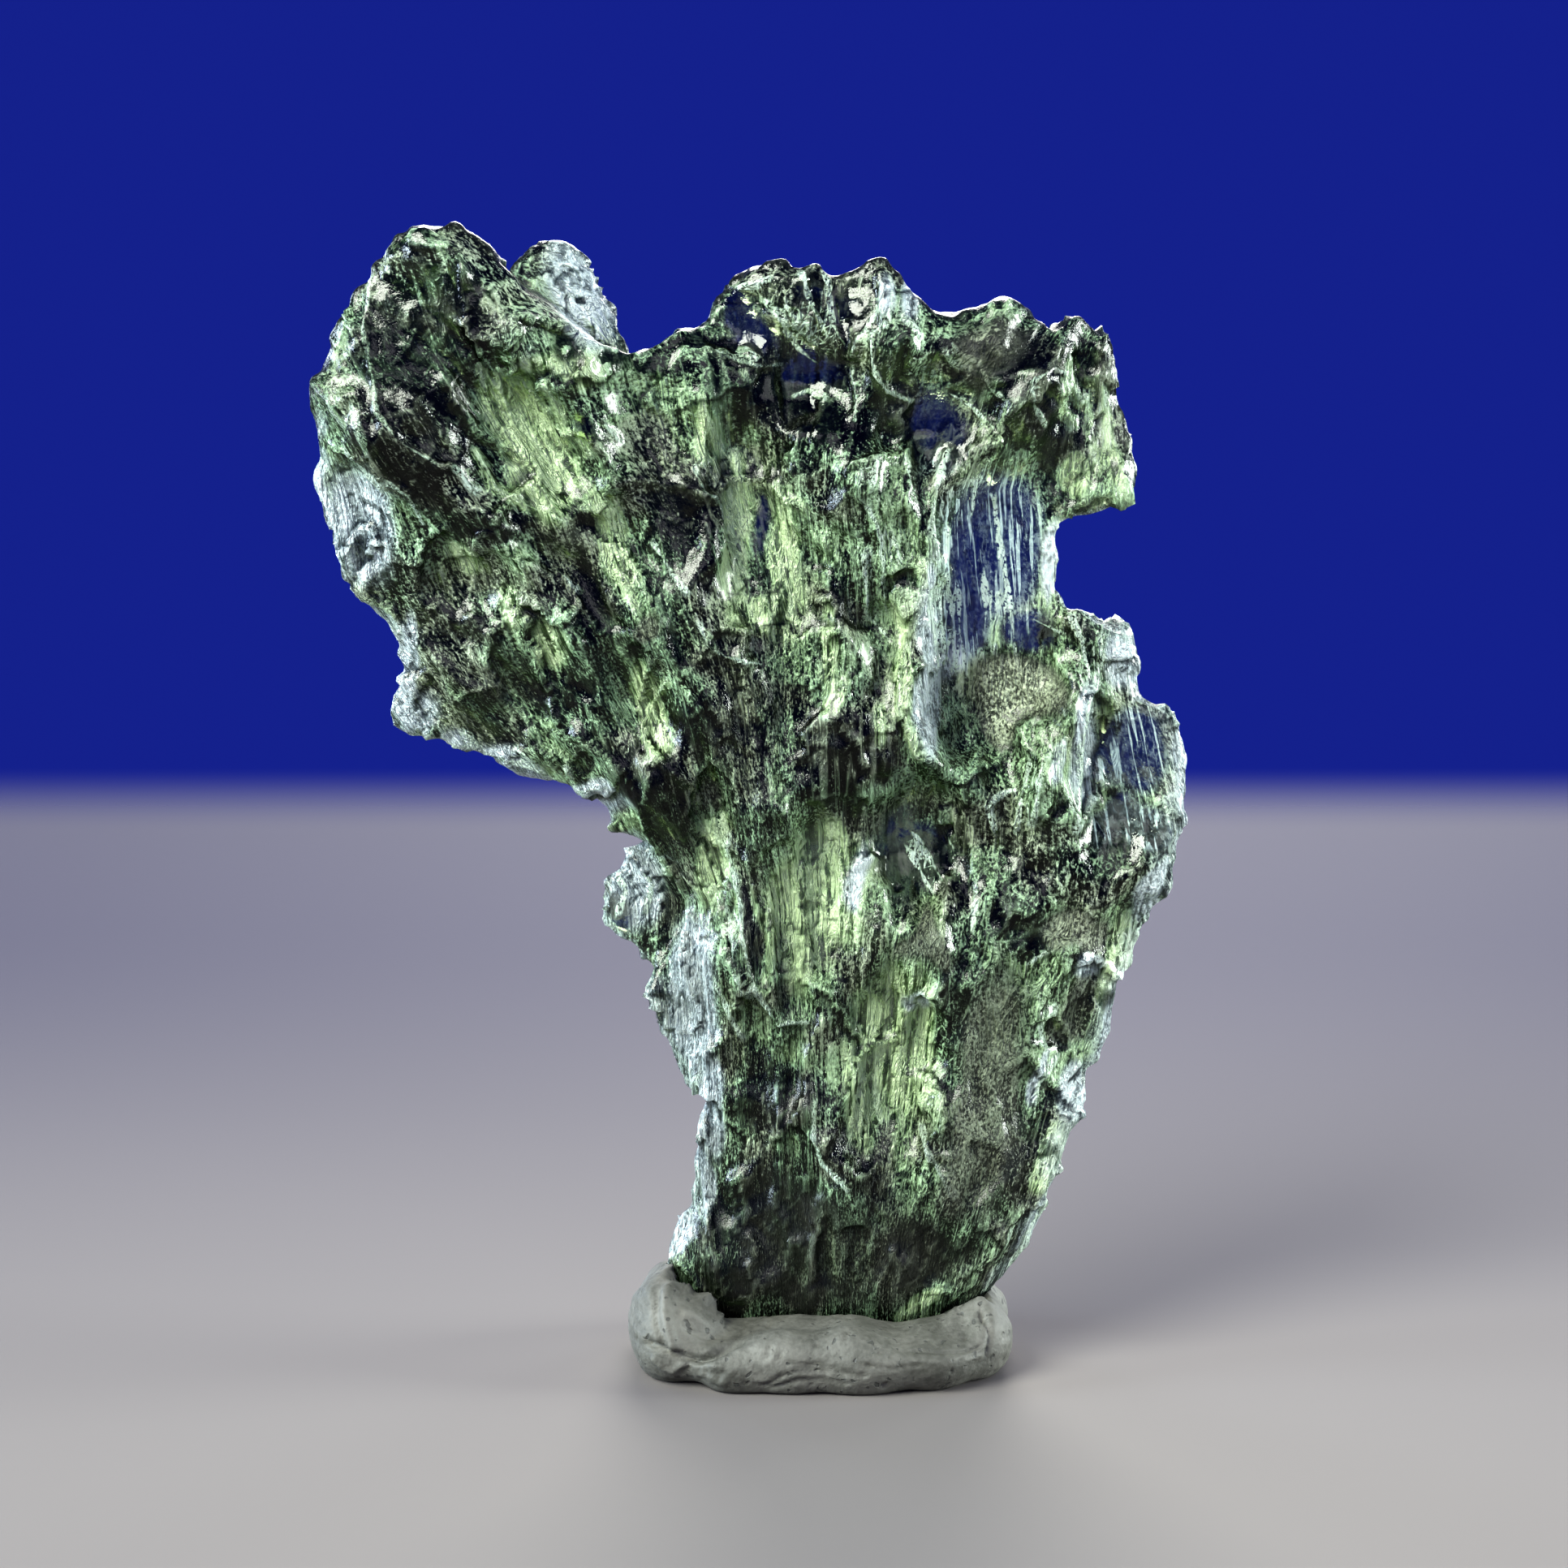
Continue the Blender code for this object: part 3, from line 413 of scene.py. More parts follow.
def flowStrokes(across, along, draw):
    # many short crests, gathered in loose bundles that share a place and a length
    height = np.zeros(across.shape)
    low, high = across.min(), across.max()
    for bundle in range(leaf["strokes"] // leaf["bundle"]):
        middle = draw.uniform(low, high), draw.uniform(2, 40)
        for stroke in range(leaf["bundle"]):
            centre = middle[0] + draw.uniform(-1.2, 1.2)
            start = middle[1] + draw.uniform(-1.5, 1.5)
            length = draw.uniform(*leaf["strokeLength"])
            tall = draw.uniform(*leaf["strokeHeight"])
            width = draw.uniform(*leaf["strokeWidth"])
            bend = draw.uniform(-leaf["strokeBend"], leaf["strokeBend"])
            near = np.abs(along - start) < length / 2
            up = (along[near] - start) / (length / 2)
            away = np.abs(across[near] - centre - bend * up * up * length) / width
            crest = tall * np.clip(1 - away, 0, None) * np.clip(1 - up * up, 0, None) ** 0.5
            height[near] = np.maximum(height[near], crest)
    return height


def crestLines(x, z, crests):
    # height of the drawn crests, the distance to the nearest with a sign, and how surely the
    # point is beside it, 0 to 1
    height, nearest, signed = np.zeros(x.shape), np.full(x.shape, 99.0), np.full(x.shape, 1.0)
    for tall, halfWidth, line in crests:
        away, side = nearLine(x, z, line)
        height = np.maximum(height, tall * np.clip(1 - away / halfWidth, 0, None))
        signed = np.where(away < nearest, side, signed)
        nearest = np.minimum(nearest, away)
    return height, np.clip(signed, -1, 1), 1 - ease(nearest, 0.14, 0.30)


def edgeBand(x, z, side, low, high, width):
    # 1 along the left (-1) or right (1) edge of the leaf between two heights, fading inwards
    rows = np.floor(z / 0.25).astype(int)
    furthest = np.full(rows.max() + 2, -99.0)
    np.maximum.at(furthest, np.maximum(rows, 0), side * x)
    inwards = furthest[np.maximum(rows, 0)] - side * x
    ragged = 0.3 * softNoise(z / 0.7, x * 0, x * 0, 41)
    across = 1 - ease(inwards + ragged, width * 0.5, width * 1.3)
    return across * ease(z, low, low + 2) * (1 - ease(z, high - 2, high))


def sculptLeaf(piece):
    points, normals = readPoints(piece)
    x, y, z = points.T
    across, along = flowPlace(x, z)
    front = ease(-normals[:, 1], 0.1, 0.6)
    back = ease(normals[:, 1], 0.1, 0.6)
    rim = 1 - front - back
    # the pattern wavers across the flow and along it
    sway = 0.6 * softNoise(x / 2.0, z / 2.0, y / 2.2, 3) + 0.16 * softNoise(x / 0.6, z / 0.7, y / 0.8, 4)
    swing = 0.4 * softNoise(x / 1.9, z / 2.4, y / 2.2, 5) + 0.14 * softNoise(x / 0.7, z / 0.6, y / 0.8, 6)
    draw = np.random.default_rng(7)
    clear = nearPlaces(x, z, clearPlaces, torn=0.4)
    worn = np.zeros(len(points))
    for *place, light in mattePlaces:
        worn = np.maximum(worn, light * front * nearPlaces(x, z, [place], 0.45, 1.25))
    plain = 1 - 0.75 * ease(worn, 0.05, 0.35)    # dull places are smoother
    relief = np.zeros(len(points))
    crests = np.zeros(len(points))
    patch = np.zeros(len(points))
    steps = np.zeros(len(points))
    # the same kind of relief on both faces: scales, small scales, ridges and single crests
    for weight, seed in ((front, 11), (back, 57)):
        wide, long, depth, tipDepth = leaf["broadScales"]
        hollow, tip, own, seam = scales(across / wide + sway, along / long + swing, seed)
        relief = relief + weight * (1 - 0.7 * clear) * (depth * (hollow - 0.25) + tipDepth * tip)
        patch = patch + weight * (own - 0.5) * 0.6
        broken = ease(softNoise(across / 1.3, along / 2.6, y * 0, seed + 6), -0.3, 0.2)
        crests = crests + weight * leaf["seamHeight"] * np.maximum(seam, 0) * broken * (1 - clear) * plain
        steps = steps + weight * seam
        wide, long, depth, tipDepth = leaf["smallScales"]
        hollow, tip, own, seam = scales(across / wide + sway, along / long + swing, seed + 2)
        rough = 0.6 + 0.4 * softNoise(x / 3.0, z / 4.0, y / 3, seed + 1)
        relief = relief + weight * rough * (1 - 0.6 * clear) * (depth * (hollow - 0.25) + tipDepth * tip)
        patch = patch + weight * ((own - 0.5) * 0.4 + 0.5 * softNoise(x / 1.1, z / 1.7, y / 3, seed + 8))
        steps = np.where(np.abs(steps) > 0.3, steps, steps + weight * 0.8 * seam)
        wide, long, depth = leaf["flowRidges"]
        strong = ease(softNoise(across / 2.5, along / 5, y * 0, seed + 3), -0.3, 0.5)
        depth = depth * (0.35 + 0.65 * ease(z, *leaf["ridgesStart"]))
        relief = relief + weight * strong * plain * depth * softNoise(
            across / wide + 1.5 * sway, along / long, y * 0, seed + 4
        )
        strokes = weight * plain * flowStrokes(across + 0.5 * sway, along, draw)
        crests = crests + strokes
    paleHeight, paleSide, paleNear = crestLines(x, z, highlightedCrests)
    limeHeight, limeSide, limeNear = crestLines(x, z, glowPaintedCrests)
    crests = np.maximum(crests, front * np.maximum(paleHeight, limeHeight))
    relief = relief + crests
    size, height = leaf["rimNibble"]
    relief = relief + rim * height * softNoise(x / size, z / size, y / size, 91)
    size, height = leaf["fineGrain"]
    relief = relief + height * softNoise(x / size, z / size, y / size, 93)
    wall = wallBehind(piece, points, normals)
    room = ease(wall, leaf["leastWall"] * 0.6, leaf["leastWall"] * 3.5)
    gripped = ease(z, *leaf["gripped"])
    writePoints(piece, points + normals * (relief * (0.25 + 0.75 * room) * gripped)[:, None])

    # how the skin looks from place to place: painted glow, painted shade, painted highlights, frosting, wear
    # and scoring
    # painted glow of light from behind, from the glow places and the glowing crests
    litAndPaintedGlow = np.maximum(nearPlaces(x, z, glowPaintedPlaces, 0.7, 1.25, torn=0.6), 0.8 * limeNear * front)
    chip = front * nearPlaces(x, z, [leaf["glowPaintedChip"]], torn=0.15)
    litAndPaintedGlow = np.maximum(litAndPaintedGlow, chip)
    dark = nearPlaces(x, z, cleanShadePaintedPlaces, 0.7, 1.25)
    pale = nearPlaces(x, z, frostAndHighlightPlaces, 0.7, 1.2, torn=0.5)
    pale = np.maximum(pale, rim * leaf["rimFrostHighlight"] * (1 - ease(z, *leaf["rimFrostEnds"])))
    for side, low, high, width in highlightEdgeBands:
        pale = np.maximum(pale, 0.6 * edgeBand(x, z, side, low, high, width))
    # painted shade on the rim at the crown; the foot is made darker towards the bottom
    dark = np.maximum(dark, rim * ease(z, *leaf["rimShadePainted"]))
    dark = np.maximum(dark, leaf["footDarkness"] * (1 - ease(z, *leaf["footDarkens"])))
    dark = dark * (1 - litAndPaintedGlow)
    free = np.clip(1 - litAndPaintedGlow - dark - pale - clear, 0, 1)
    worn = np.maximum(worn * (1 - chip), leaf["rimDullness"] * rim * ease(z, *leaf["rimDulls"]))
    pale = np.where(worn > pale, -worn, pale)
    scored = nearPlaces(x, z, scoredPlaces, 0.8, 1.1)
    lime = limeNear > paleNear
    return {
        "skin": (np.clip(crests / leaf["fullCrestHighlight"], 0, 1), scored, clear),
        "frost": (ease(normals[:, 1], -0.2, 0.3), litAndPaintedGlow - dark * (1 - pale) + free * patch, pale),
        "line": (np.where(lime, limeSide, paleSide), front * np.maximum(paleNear, limeNear), steps),
    }


def storeSkin(piece, painted):
    # flow carries the pattern along the glass; skin holds crest (its top gets a painted highlight),
    # scoring (pale streaks painted as light coming through) and clearness, 0 to 1; frost holds how much a
    # point faces back, its tone from painted shade (-1) to painted glow (1) with a random part, and its
    # paleness (frosting with a painted highlight) or, below 0, how dull it is worn; line holds the
    # distance to the nearest drawn crest with a sign, how surely it is there, and the steps between
    # scales, which give a painted highlight on their high side and a painted shadow on their low side
    x, y, z = readPoints(piece)[0].T
    painted["flow"] = (*flowPlace(x, z), y)
    for name, values in painted.items():
        attribute = piece.data.attributes.new(name, "FLOAT_VECTOR", "POINT")
        attribute.data.foreach_set("vector", np.column_stack(values).ravel())


def makeLeaf():
    piece = copyOfSolid("moldavite", "glass_leaf")
    applyModifier(piece, "SUBSURF", levels=1, render_levels=1)
    applyModifier(piece, "REMESH", mode="VOXEL", voxel_size=leaf["cell"] * mm)
    applyModifier(piece, "SMOOTH", factor=0.5, iterations=leaf["softenCorners"])
    storeSkin(piece, sculptLeaf(piece))
    makeActive(piece)
    bpy.ops.object.shade_smooth()
    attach(piece, "root")
    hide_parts("moldavite")
    print("leaf of glass:", len(piece.data.polygons), "faces")
    return piece


foot = {
    "cell": 0.11,             # mm, spacing of the points on its skin
    "softenCorners": 4,
    "lumpDepth": 0.10,        # mm, slow swells left by fingers
    "wrinkleDepth": 0.045,    # mm, long creases that run around it
    "crumbDepth": 0.14,
    "pits": 150,
    "pitDepth": (0.04, 0.12),
    "pitWidth": (0.06, 0.16),
    "gap": 0.03,              # left between the putty and the glass
    "press": (0.5, 1.5),      # putty nearer the glass than this is pressed against it
    "heap": 0.35,             # its left lump stands higher
    "dip": 0.55,              # and its front roll sags towards the right
}

# creases and folds on its front: height above or below the skin, half width, points (x, height as seen)
puttyFolds = [
    (-0.30, 0.17, [(-0.4, 1.35), (-0.5, 1.05), (-1.1, 0.83), (-1.8, 0.48), (-2.3, 0.56), (-2.9, 0.8),
                  (-3.5, 1.0)]),
    (0.16, 0.30, [(-2.9, 2.7), (-2.95, 1.8), (-2.7, 0.95)]),
    (-0.10, 0.22, [(-3.25, 2.3), (-3.2, 1.5), (-3.0, 1.05)]),
    (0.14, 0.25, [(-2.3, 2.0), (-1.6, 1.5), (-0.6, 1.35)]),
    (-0.08, 0.12, [(-2.3, 1.5), (-1.6, 1.15), (-0.9, 1.15)]),
    (0.10, 0.13, [(-3.35, 0.5), (-3.0, 0.18), (-2.7, 0.06), (-2.3, 0.4)]),
    (-0.10, 0.15, [(6.0, 1.2), (6.6, 1.12), (7.3, 1.1)]), (-0.08, 0.12, [(5.2, 1.3), (5.9, 1.2)]),
    (-0.09, 0.12, [(0.3, -0.3), (1.0, 0.12), (1.7, 0.27), (2.7, 0.13), (3.6, 0.1)]),
    (-0.07, 0.11, [(0.2, -0.5), (1.3, -0.15), (2.3, -0.05), (3.0, -0.2)]),
    (-0.06, 0.11, [(1.0, 0.5), (2.0, 0.42), (3.1, 0.2)]),
    (-0.06, 0.10, [(3.4, 0.5), (4.4, 0.35), (5.5, 0.5)]),
    (-0.12, 0.14, [(7.5, 2.0), (7.7, 1.3), (7.6, 0.6)]),
]


def sculptFoot(piece, leafPiece):
    points, normals = readPoints(piece)
    x, y, z = points.T
    seen = z + 0.176 * y    # height as seen from ten degrees up
    front = ease(-normals[:, 1], -0.1, 0.4)
    around = np.arctan2(y, x - 2) * 5
    relief = foot["lumpDepth"] * softNoise(x / 1.5, y / 1.5, z / 1.2, 201)
    wrinkled = ease(softNoise(around / 2.2, z / 1.2, x * 0, 203), -0.3, 0.5)
    relief = relief + foot["wrinkleDepth"] * wrinkled * softNoise(
        around / 1.4, z / 0.17 + around / 3, x * 0, 204
    )
    crumbly = np.clip(1 - np.hypot((x + 1.1) / 0.9, (seen - 0.05) / 0.5), 0, 1) ** 0.5 * front
    above = np.clip(1 - np.hypot((x - 0.6) / 0.7, (seen - 0.75) / 0.5), 0, 1)
    crumbly = np.maximum(crumbly, 0.6 * above * front)
    relief = relief + foot["crumbDepth"] * crumbly * softNoise(x / 0.2, y / 0.2, z / 0.2, 205)
    relief = relief + 0.012 * softNoise(x / 0.25, y / 0.25, z / 0.25, 206)
    for tall, halfWidth, line in puttyFolds:
        away = nearLine(x, seen, line)[0]
        relief = relief + front * tall * (1 - ease(away / halfWidth, 0, 1))
    pitted = np.zeros(len(points))
    draw = np.random.default_rng(17)
    for pit in range(foot["pits"]):
        centre = points[draw.integers(len(points))]
        depth, width = draw.uniform(*foot["pitDepth"]), draw.uniform(*foot["pitWidth"])
        away = np.hypot(np.hypot(x - centre[0], y - centre[1]), z - centre[2]) / width
        pitted = np.maximum(pitted, depth * (1 - ease(away, 0.2, 1.3)))
    relief = relief - pitted
    flat = ease(z, 0.05, 0.45)
    points = points + normals * (relief * flat)[:, None]
    dip = ease(x, 3.0, 5.0) * (1 - ease(x, 6.8, 8.0)) * ease(-y, 0.2, 1.4) * ease(z, 0.9, 2.3)
    points[:, 2] += foot["heap"] * ease(-x, 2.4, 3.4) * ease(z, 1.4, 3.0) - foot["dip"] * dip

    # the lips of the slot are pressed against the glass
    leafPoints = readPoints(leafPiece)[0]
    near = leafPoints[:, 2] < 8
    kept = [tuple(face.vertices) for face in leafPiece.data.polygons if near[face.vertices[0]]]
    tree = BVHTree.FromPolygons([Vector(p) for p in leafPoints], kept)
    for index in np.nonzero(points[:, 2] > 0.6)[0]:
        place = Vector(points[index])
        touched, facing, face, away = tree.find_nearest(place, 1.6)
        if touched is not None:
            reach = 1 - float(ease(away, *foot["press"]))
            points[index] = place.lerp(touched + (place - touched).normalized() * foot["gap"], reach)
    writePoints(piece, points)


def makeFoot(leafPiece):
    piece = copyOfSolid("putty_foot", "putty_hold")
    applyModifier(piece, "SUBSURF", levels=1, render_levels=1)
    applyModifier(piece, "REMESH", mode="VOXEL", voxel_size=foot["cell"] * mm)
    applyModifier(piece, "SMOOTH", factor=0.5, iterations=foot["softenCorners"])
    sculptFoot(piece, leafPiece)
    makeActive(piece)
    bpy.ops.object.shade_smooth()
    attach(piece, "root")
    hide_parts("putty_foot")
    print("foot of putty:", len(piece.data.polygons), "faces")
    return piece


class Socket:
    # a shader value that can be used in ordinary sums
    def __init__(self, tree, socket):
        self.tree = tree
        self.socket = socket

    def maths(self, operation, other=0.0, clamp=False):
        return self.node("ShaderNodeMath", {"operation": operation, "use_clamp": clamp}, {0: self, 1: other})

    def node(self, kind, settings=None, sockets=None, output=0):
        made = self.tree.nodes.new(kind)
        for setting, value in (settings or {}).items():
            setattr(made, setting, value)
        for place, value in (sockets or {}).items():
            if isinstance(value, Socket):
                value.into(made, place)
            else:
                made.inputs[place].default_value = value
        return Socket(self.tree, made.outputs[output])

    def into(self, node, place):
        self.tree.links.new(self.socket, node.inputs[place])

    def __add__(self, other):
        return self.maths("ADD", other)

    def __radd__(self, other):
        return self.maths("ADD", other)

    def __sub__(self, other):
        return self.maths("SUBTRACT", other)

    def __rsub__(self, other):
        return self.node("ShaderNodeMath", {"operation": "SUBTRACT"}, {0: other, 1: self})

    def __mul__(self, other):
        return self.maths("MULTIPLY", other)

    def __rmul__(self, other):
        return self.maths("MULTIPLY", other)


def axisOf(vector, axis):
    return vector.node("ShaderNodeSeparateXYZ", None, {0: vector}, output=axis)


def noise(vector, scale, detail, roughness=0.5, distortion=0.0):
    return vector.node("ShaderNodeTexNoise", None,
                       {"Vector": vector, "Scale": scale, "Detail": detail, "Roughness": roughness,
                        "Distortion": distortion}, output="Fac")


def blend(share, first, second):
    return share.node("ShaderNodeMix", {"data_type": "RGBA"}, {0: share, 6: first, 7: second}, output=2)


def blendShaders(share, first, second):
    return share.node("ShaderNodeMixShader", None, {0: share, 1: first, 2: second})


def between(value, low, high, kind="LINEAR"):
    # from 0 to 1 as the value goes from low to high
    return value.node("ShaderNodeMapRange", {"interpolation_type": kind}, {0: value, 1: low, 2: high})


def bumped(height):
    return height.node("ShaderNodeBump", None, {"Strength": 1.0, "Distance": mm, "Height": height},
                       output="Normal")


def newMaterial(name):
    material = bpy.data.materials.new(name)
    material.use_nodes = True
    shader = material.node_tree.nodes["Principled BSDF"]
    output = material.node_tree.nodes["Material Output"]
    return material, shader, output, Socket(material.node_tree, None)


glass = {
    "ior": 1.49,
    "roughFront": 0.12,       # roughness between the grains
    "roughClear": 0.05,       # roughness where it is thin and clear
    "roughFrost": 0.75,       # roughness of the frosted back
    "tint": (0.53, 0.61, 0.43, 1),   # what a path through the glass leaves of each colour
    "strength": 2500,
    "streakHeight": 0.08,     # mm, fine lines along the flow
    "ridgeHeight": 0.05,
    "netHeight": 0.09,        # mm, the net of wrinkles
    "grainHeight": 0.05,      # mm, frosting
    "grainSize": 0.075,
    "streakScale": 5.0,       # patterns to a mm of flow
    "threadScale": 2.6,
    "netScales": (2.4, 5.2),
    "bundleScale": 1.1,       # where threads gather
    "scratchScale": 9.0,
    "patchScale": 0.9,
    "greenScale": 0.45,       # where the grains turn from brown to green
    "grainRough": 0.35,
    "grainClear": 0.35,       # light that the grains let through
    "coat": 0.50,
    "coatDull": 0.42,         # so much less coat where it is worn dull
    "coatRough": 0.18,
    "brown": ((0.062, 0.076, 0.046, 1), (0.56, 0.64, 0.46, 1)),    # hollows and tops of the grains
    "green": ((0.052, 0.100, 0.042, 1), (0.58, 0.82, 0.52, 1)),
    # colours of the painted yellow-green glow
    "lime": ((0.10, 0.26, 0.04, 1), (0.82, 1.0, 0.62, 1)),
    # colours of the frosting with its painted highlight
    "frost": ((0.26, 0.35, 0.38, 1), (0.90, 1.0, 0.99, 1)),
    # colours of the painted highlight on the crests
    "crest": ((0.28, 0.40, 0.24, 1), (0.84, 1.0, 0.84, 1)),
    "haze": ((0.14, 0.21, 0.28, 1), (0.66, 0.82, 0.80, 1)),         # bloom on the scored windows, painted pale as light coming through them
    "matte": (0.75, 0.81, 0.60, 1),
    "cleanDark": (0.015, 0.022, 0.015, 1),    # etched skin between the grains
    "cleanPale": (0.98, 1.0, 0.97, 1),
    "lineWidth": 0.065,       # mm, half the width of the painted highlight on a drawn crest's top
}


def glassMaterial():
    material, shader, output, make = newMaterial("etched_green_glass")
    flow, skin, frost, line = [
        make.node("ShaderNodeAttribute", {"attribute_name": name}, output="Vector")
        for name in ("flow", "skin", "frost", "line")
    ]
    crest, scored, clear = [axisOf(skin, axis) for axis in "XYZ"]
    behind, tone, paleness = [axisOf(frost, axis) for axis in "XYZ"]
    aside, sure, step = [axisOf(line, axis) for axis in "XYZ"]
    pale = paleness.maths("MAXIMUM")
    matte = (paleness * -1).maths("MAXIMUM")
    # painted yellow-green glow; it also lets more real light through the base colour and the frosted back
    litAndPaintedGlow = tone.maths("MAXIMUM").maths("MINIMUM", 1)
    # dark: painted shade, darkening the base colour and the grains, with fewer grains
    dark = (tone * -1).maths("MAXIMUM") * (1 - behind)
    # high side of a step between scales: painted highlight; low side: painted shadow
    high = step.maths("MAXIMUM")
    low = (step * -1).maths("MAXIMUM")

    place = make.node("ShaderNodeTexCoord", output="Object")

    def stretched(vector, factors):
        return make.node("ShaderNodeVectorMath", {"operation": "MULTIPLY"}, {0: vector, 1: factors})

    def along(flowScale, placeScale):
        # partly along the flow, partly in the place where it is
        return make.node("ShaderNodeVectorMath", {"operation": "MULTIPLY_ADD"},
                         {0: flow, 1: flowScale, 2: stretched(place, placeScale)})

    def ridged(pattern, sharpness):
        return (1 - (pattern * 2 - 1).maths("ABSOLUTE") * sharpness).maths("MAXIMUM")

    drawnOut = along((0.65, 0.08, 0.3), (0.3 / mm, 0.3 / mm, 0.02 / mm))
    netted = along((0.6, 0.2, 0.6), (0.4 / mm, 0.4 / mm, 0.15 / mm))
    net = ridged(noise(netted, glass["netScales"][0], 2.0, distortion=0.8), 7)
    fineNet = ridged(noise(netted, glass["netScales"][1], 2.0, distortion=0.8), 6)
    net = net.maths("MAXIMUM", fineNet * 0.8)
    flecked = stretched(flow, (1, 0.6, 1))
    scratched = stretched(flow, (1, 0.05, 0.3))
    matted = between(matte, 0.05, 0.5)
    streaks = noise(drawnOut, glass["streakScale"], 2.5) * (1 - matted * 0.75) + matted * 0.37
    thread = ridged(noise(drawnOut, glass["threadScale"], 1.0, distortion=0.4), 9) * (1 - matted)
    grain = noise(flecked, 1 / glass["grainSize"], 2.0, roughness=0.6)
    patches = noise(flow, glass["patchScale"], 3.0)
    stripes = between(streaks, 0.45, 0.56)
    gaps = between(streaks + net * 0.12, 0.46, 0.52)    # 0 in the thin dark lines between the lit threads
    # painted highlight along the top of each drawn crest
    beside = aside.maths("ABSOLUTE") + (patches - 0.5) * 0.5
    drawn = between(beside, glass["lineWidth"] * 1.4, glass["lineWidth"] * 0.6)
    drawn = drawn * sure * between(grain, 0.34, 0.48)
    height = streaks * glass["streakHeight"] + grain * glass["grainHeight"] * 2
    height = height + thread * glass["ridgeHeight"] + net * glass["netHeight"]
    bump = bumped(height * (1 - clear * 0.6))

    # base colour of the clean skin: a random dark and pale pattern, clearer in the clear places, paler with
    # the painted glow and darker as painted shade in the dark places and on the low side of steps
    shade = between(streaks + grain * 0.6, 0.80, 1.0)
    shade = shade.maths("ADD", clear * 0.7 + litAndPaintedGlow * 0.4 - dark * 0.4 - low * 0.5, clamp=True)
    base = blend(shade, glass["cleanDark"], glass["cleanPale"])
    base.into(shader, "Base Color")
    rough = glass["roughFront"] - clear * (glass["roughFront"] - glass["roughClear"]) + litAndPaintedGlow * 0.1
    rough.into(shader, "Roughness")
    bumped((streaks * 0.035 + grain * 0.02) * (1 - clear * 0.5)).into(shader, "Normal")
    shader.inputs["Transmission Weight"].default_value = 1
    shader.inputs["IOR"].default_value = glass["ior"]
    frosted = make.node("ShaderNodeBsdfPrincipled", None, {
        "Base Color": glass["cleanPale"],
        "Roughness": glass["roughFrost"],
        "IOR": glass["ior"],
        "Transmission Weight": 1,
        "Normal": bump,
    })
    backFrost = behind * (1 - clear * 0.9) * (0.15 + litAndPaintedGlow * 0.8)
    skins = blendShaders(backFrost, Socket(make.tree, shader.outputs[0]), frosted)

    # the pale grains: how strongly they show, their colour and how dull they are; they carry painted
    # highlights, painted glow and painted shade
    sheen = thread * between(noise(drawnOut, glass["bundleScale"], 1.0), 0.48, 0.58)
    # pale streaks painted in the scored windows as light from behind coming through
    scoredLightStreaks = between(noise(scratched, glass["scratchScale"], 2.0), 0.56, 0.60) * scored
    strong = between(grain * 0.6 + streaks * 0.2 + net * 0.2, 0.36, 0.64)
    strong = strong.maths("MAXIMUM", pale * (0.45 + between(grain, 0.40, 0.52) * stripes * 0.5))
    strong = strong.maths("MAXIMUM", drawn).maths("MAXIMUM", litAndPaintedGlow * gaps * (0.8 + net * 0.3))
    strong = strong.maths("MAXIMUM", sheen * 0.8).maths("MAXIMUM", scoredLightStreaks)
    strong = (strong * (1 - dark * 0.5)).maths("ADD", high * 0.4 - low * 0.5, clamp=True)

    def zone(name):
        return blend(strong, *glass[name])

    greener = between(noise(flow, glass["greenScale"], 1.0) + tone * 0.06, 0.40, 0.52)
    colour = blend(greener, zone("brown"), zone("green"))
    # painted glow: yellow-green colour in the glow places
    colour = blend(litAndPaintedGlow, colour, zone("lime"))
    colour = blend(clear * scored * 0.9, colour, zone("haze"))
    # frosting with a painted highlight in the pale places
    colour = blend(pale, colour, zone("frost"))
    # painted highlight colour on the drawn crests
    colour = blend(drawn * (1 - litAndPaintedGlow), colour, zone("crest"))
    dull = matte * matte * (between(grain, 0.40, 0.62) * 0.8 + 0.45)
    dull = make.node("ShaderNodeVectorMath", {"operation": "SCALE"}, {0: glass["matte"][:3], "Scale": dull})
    colour = blend(matted * 0.85, colour, dull)
    grains = make.node("ShaderNodeBsdfPrincipled", None, {
        "Base Color": colour,
        "Roughness": matted * 0.3 + glass["grainRough"],
        "IOR": glass["ior"],
        "Transmission Weight": glass["grainClear"],
        "Coat Weight": glass["coat"] - matted * glass["coatDull"],
        "Coat Roughness": glass["coatRough"],
        "Normal": bump,
    })

    # how much of the skin they cover: more with painted highlights and painted glow, less as painted shadow
    # on the low side of steps
    speck = (grain * 0.6 + streaks * 0.2 + net * 0.12 - 0.405 + tone * 0.10) * 8
    speck = speck.maths("MAXIMUM").maths("MINIMUM", 1)
    cover = speck * (1 - litAndPaintedGlow * (1 - gaps) * 0.8)
    cover = cover + crest * 0.25 + sheen * 0.7 + pale * (0.4 + stripes * 0.4) + high * 0.4
    cover = (cover + litAndPaintedGlow * gaps * 0.7).maths("MINIMUM", 1) * (1 - low * 0.85)
    cover = cover * (1 - clear * (1 - litAndPaintedGlow) * 0.85) * (1 - behind * (0.3 + litAndPaintedGlow * 0.5))
    bloom = scoredLightStreaks * 0.8 + clear * scored * (0.02 + speck * 0.12) + matted * (0.35 + speck * 0.6)
    cover = cover.maths("ADD", (bloom + drawn) * (1 - behind), clamp=True)
    blendShaders(cover, skins, grains).into(output, "Surface")
    absorb = {"Color": glass["tint"], "Density": glass["strength"]}
    make.node("ShaderNodeVolumeAbsorption", None, absorb).into(output, "Volume")
    return material


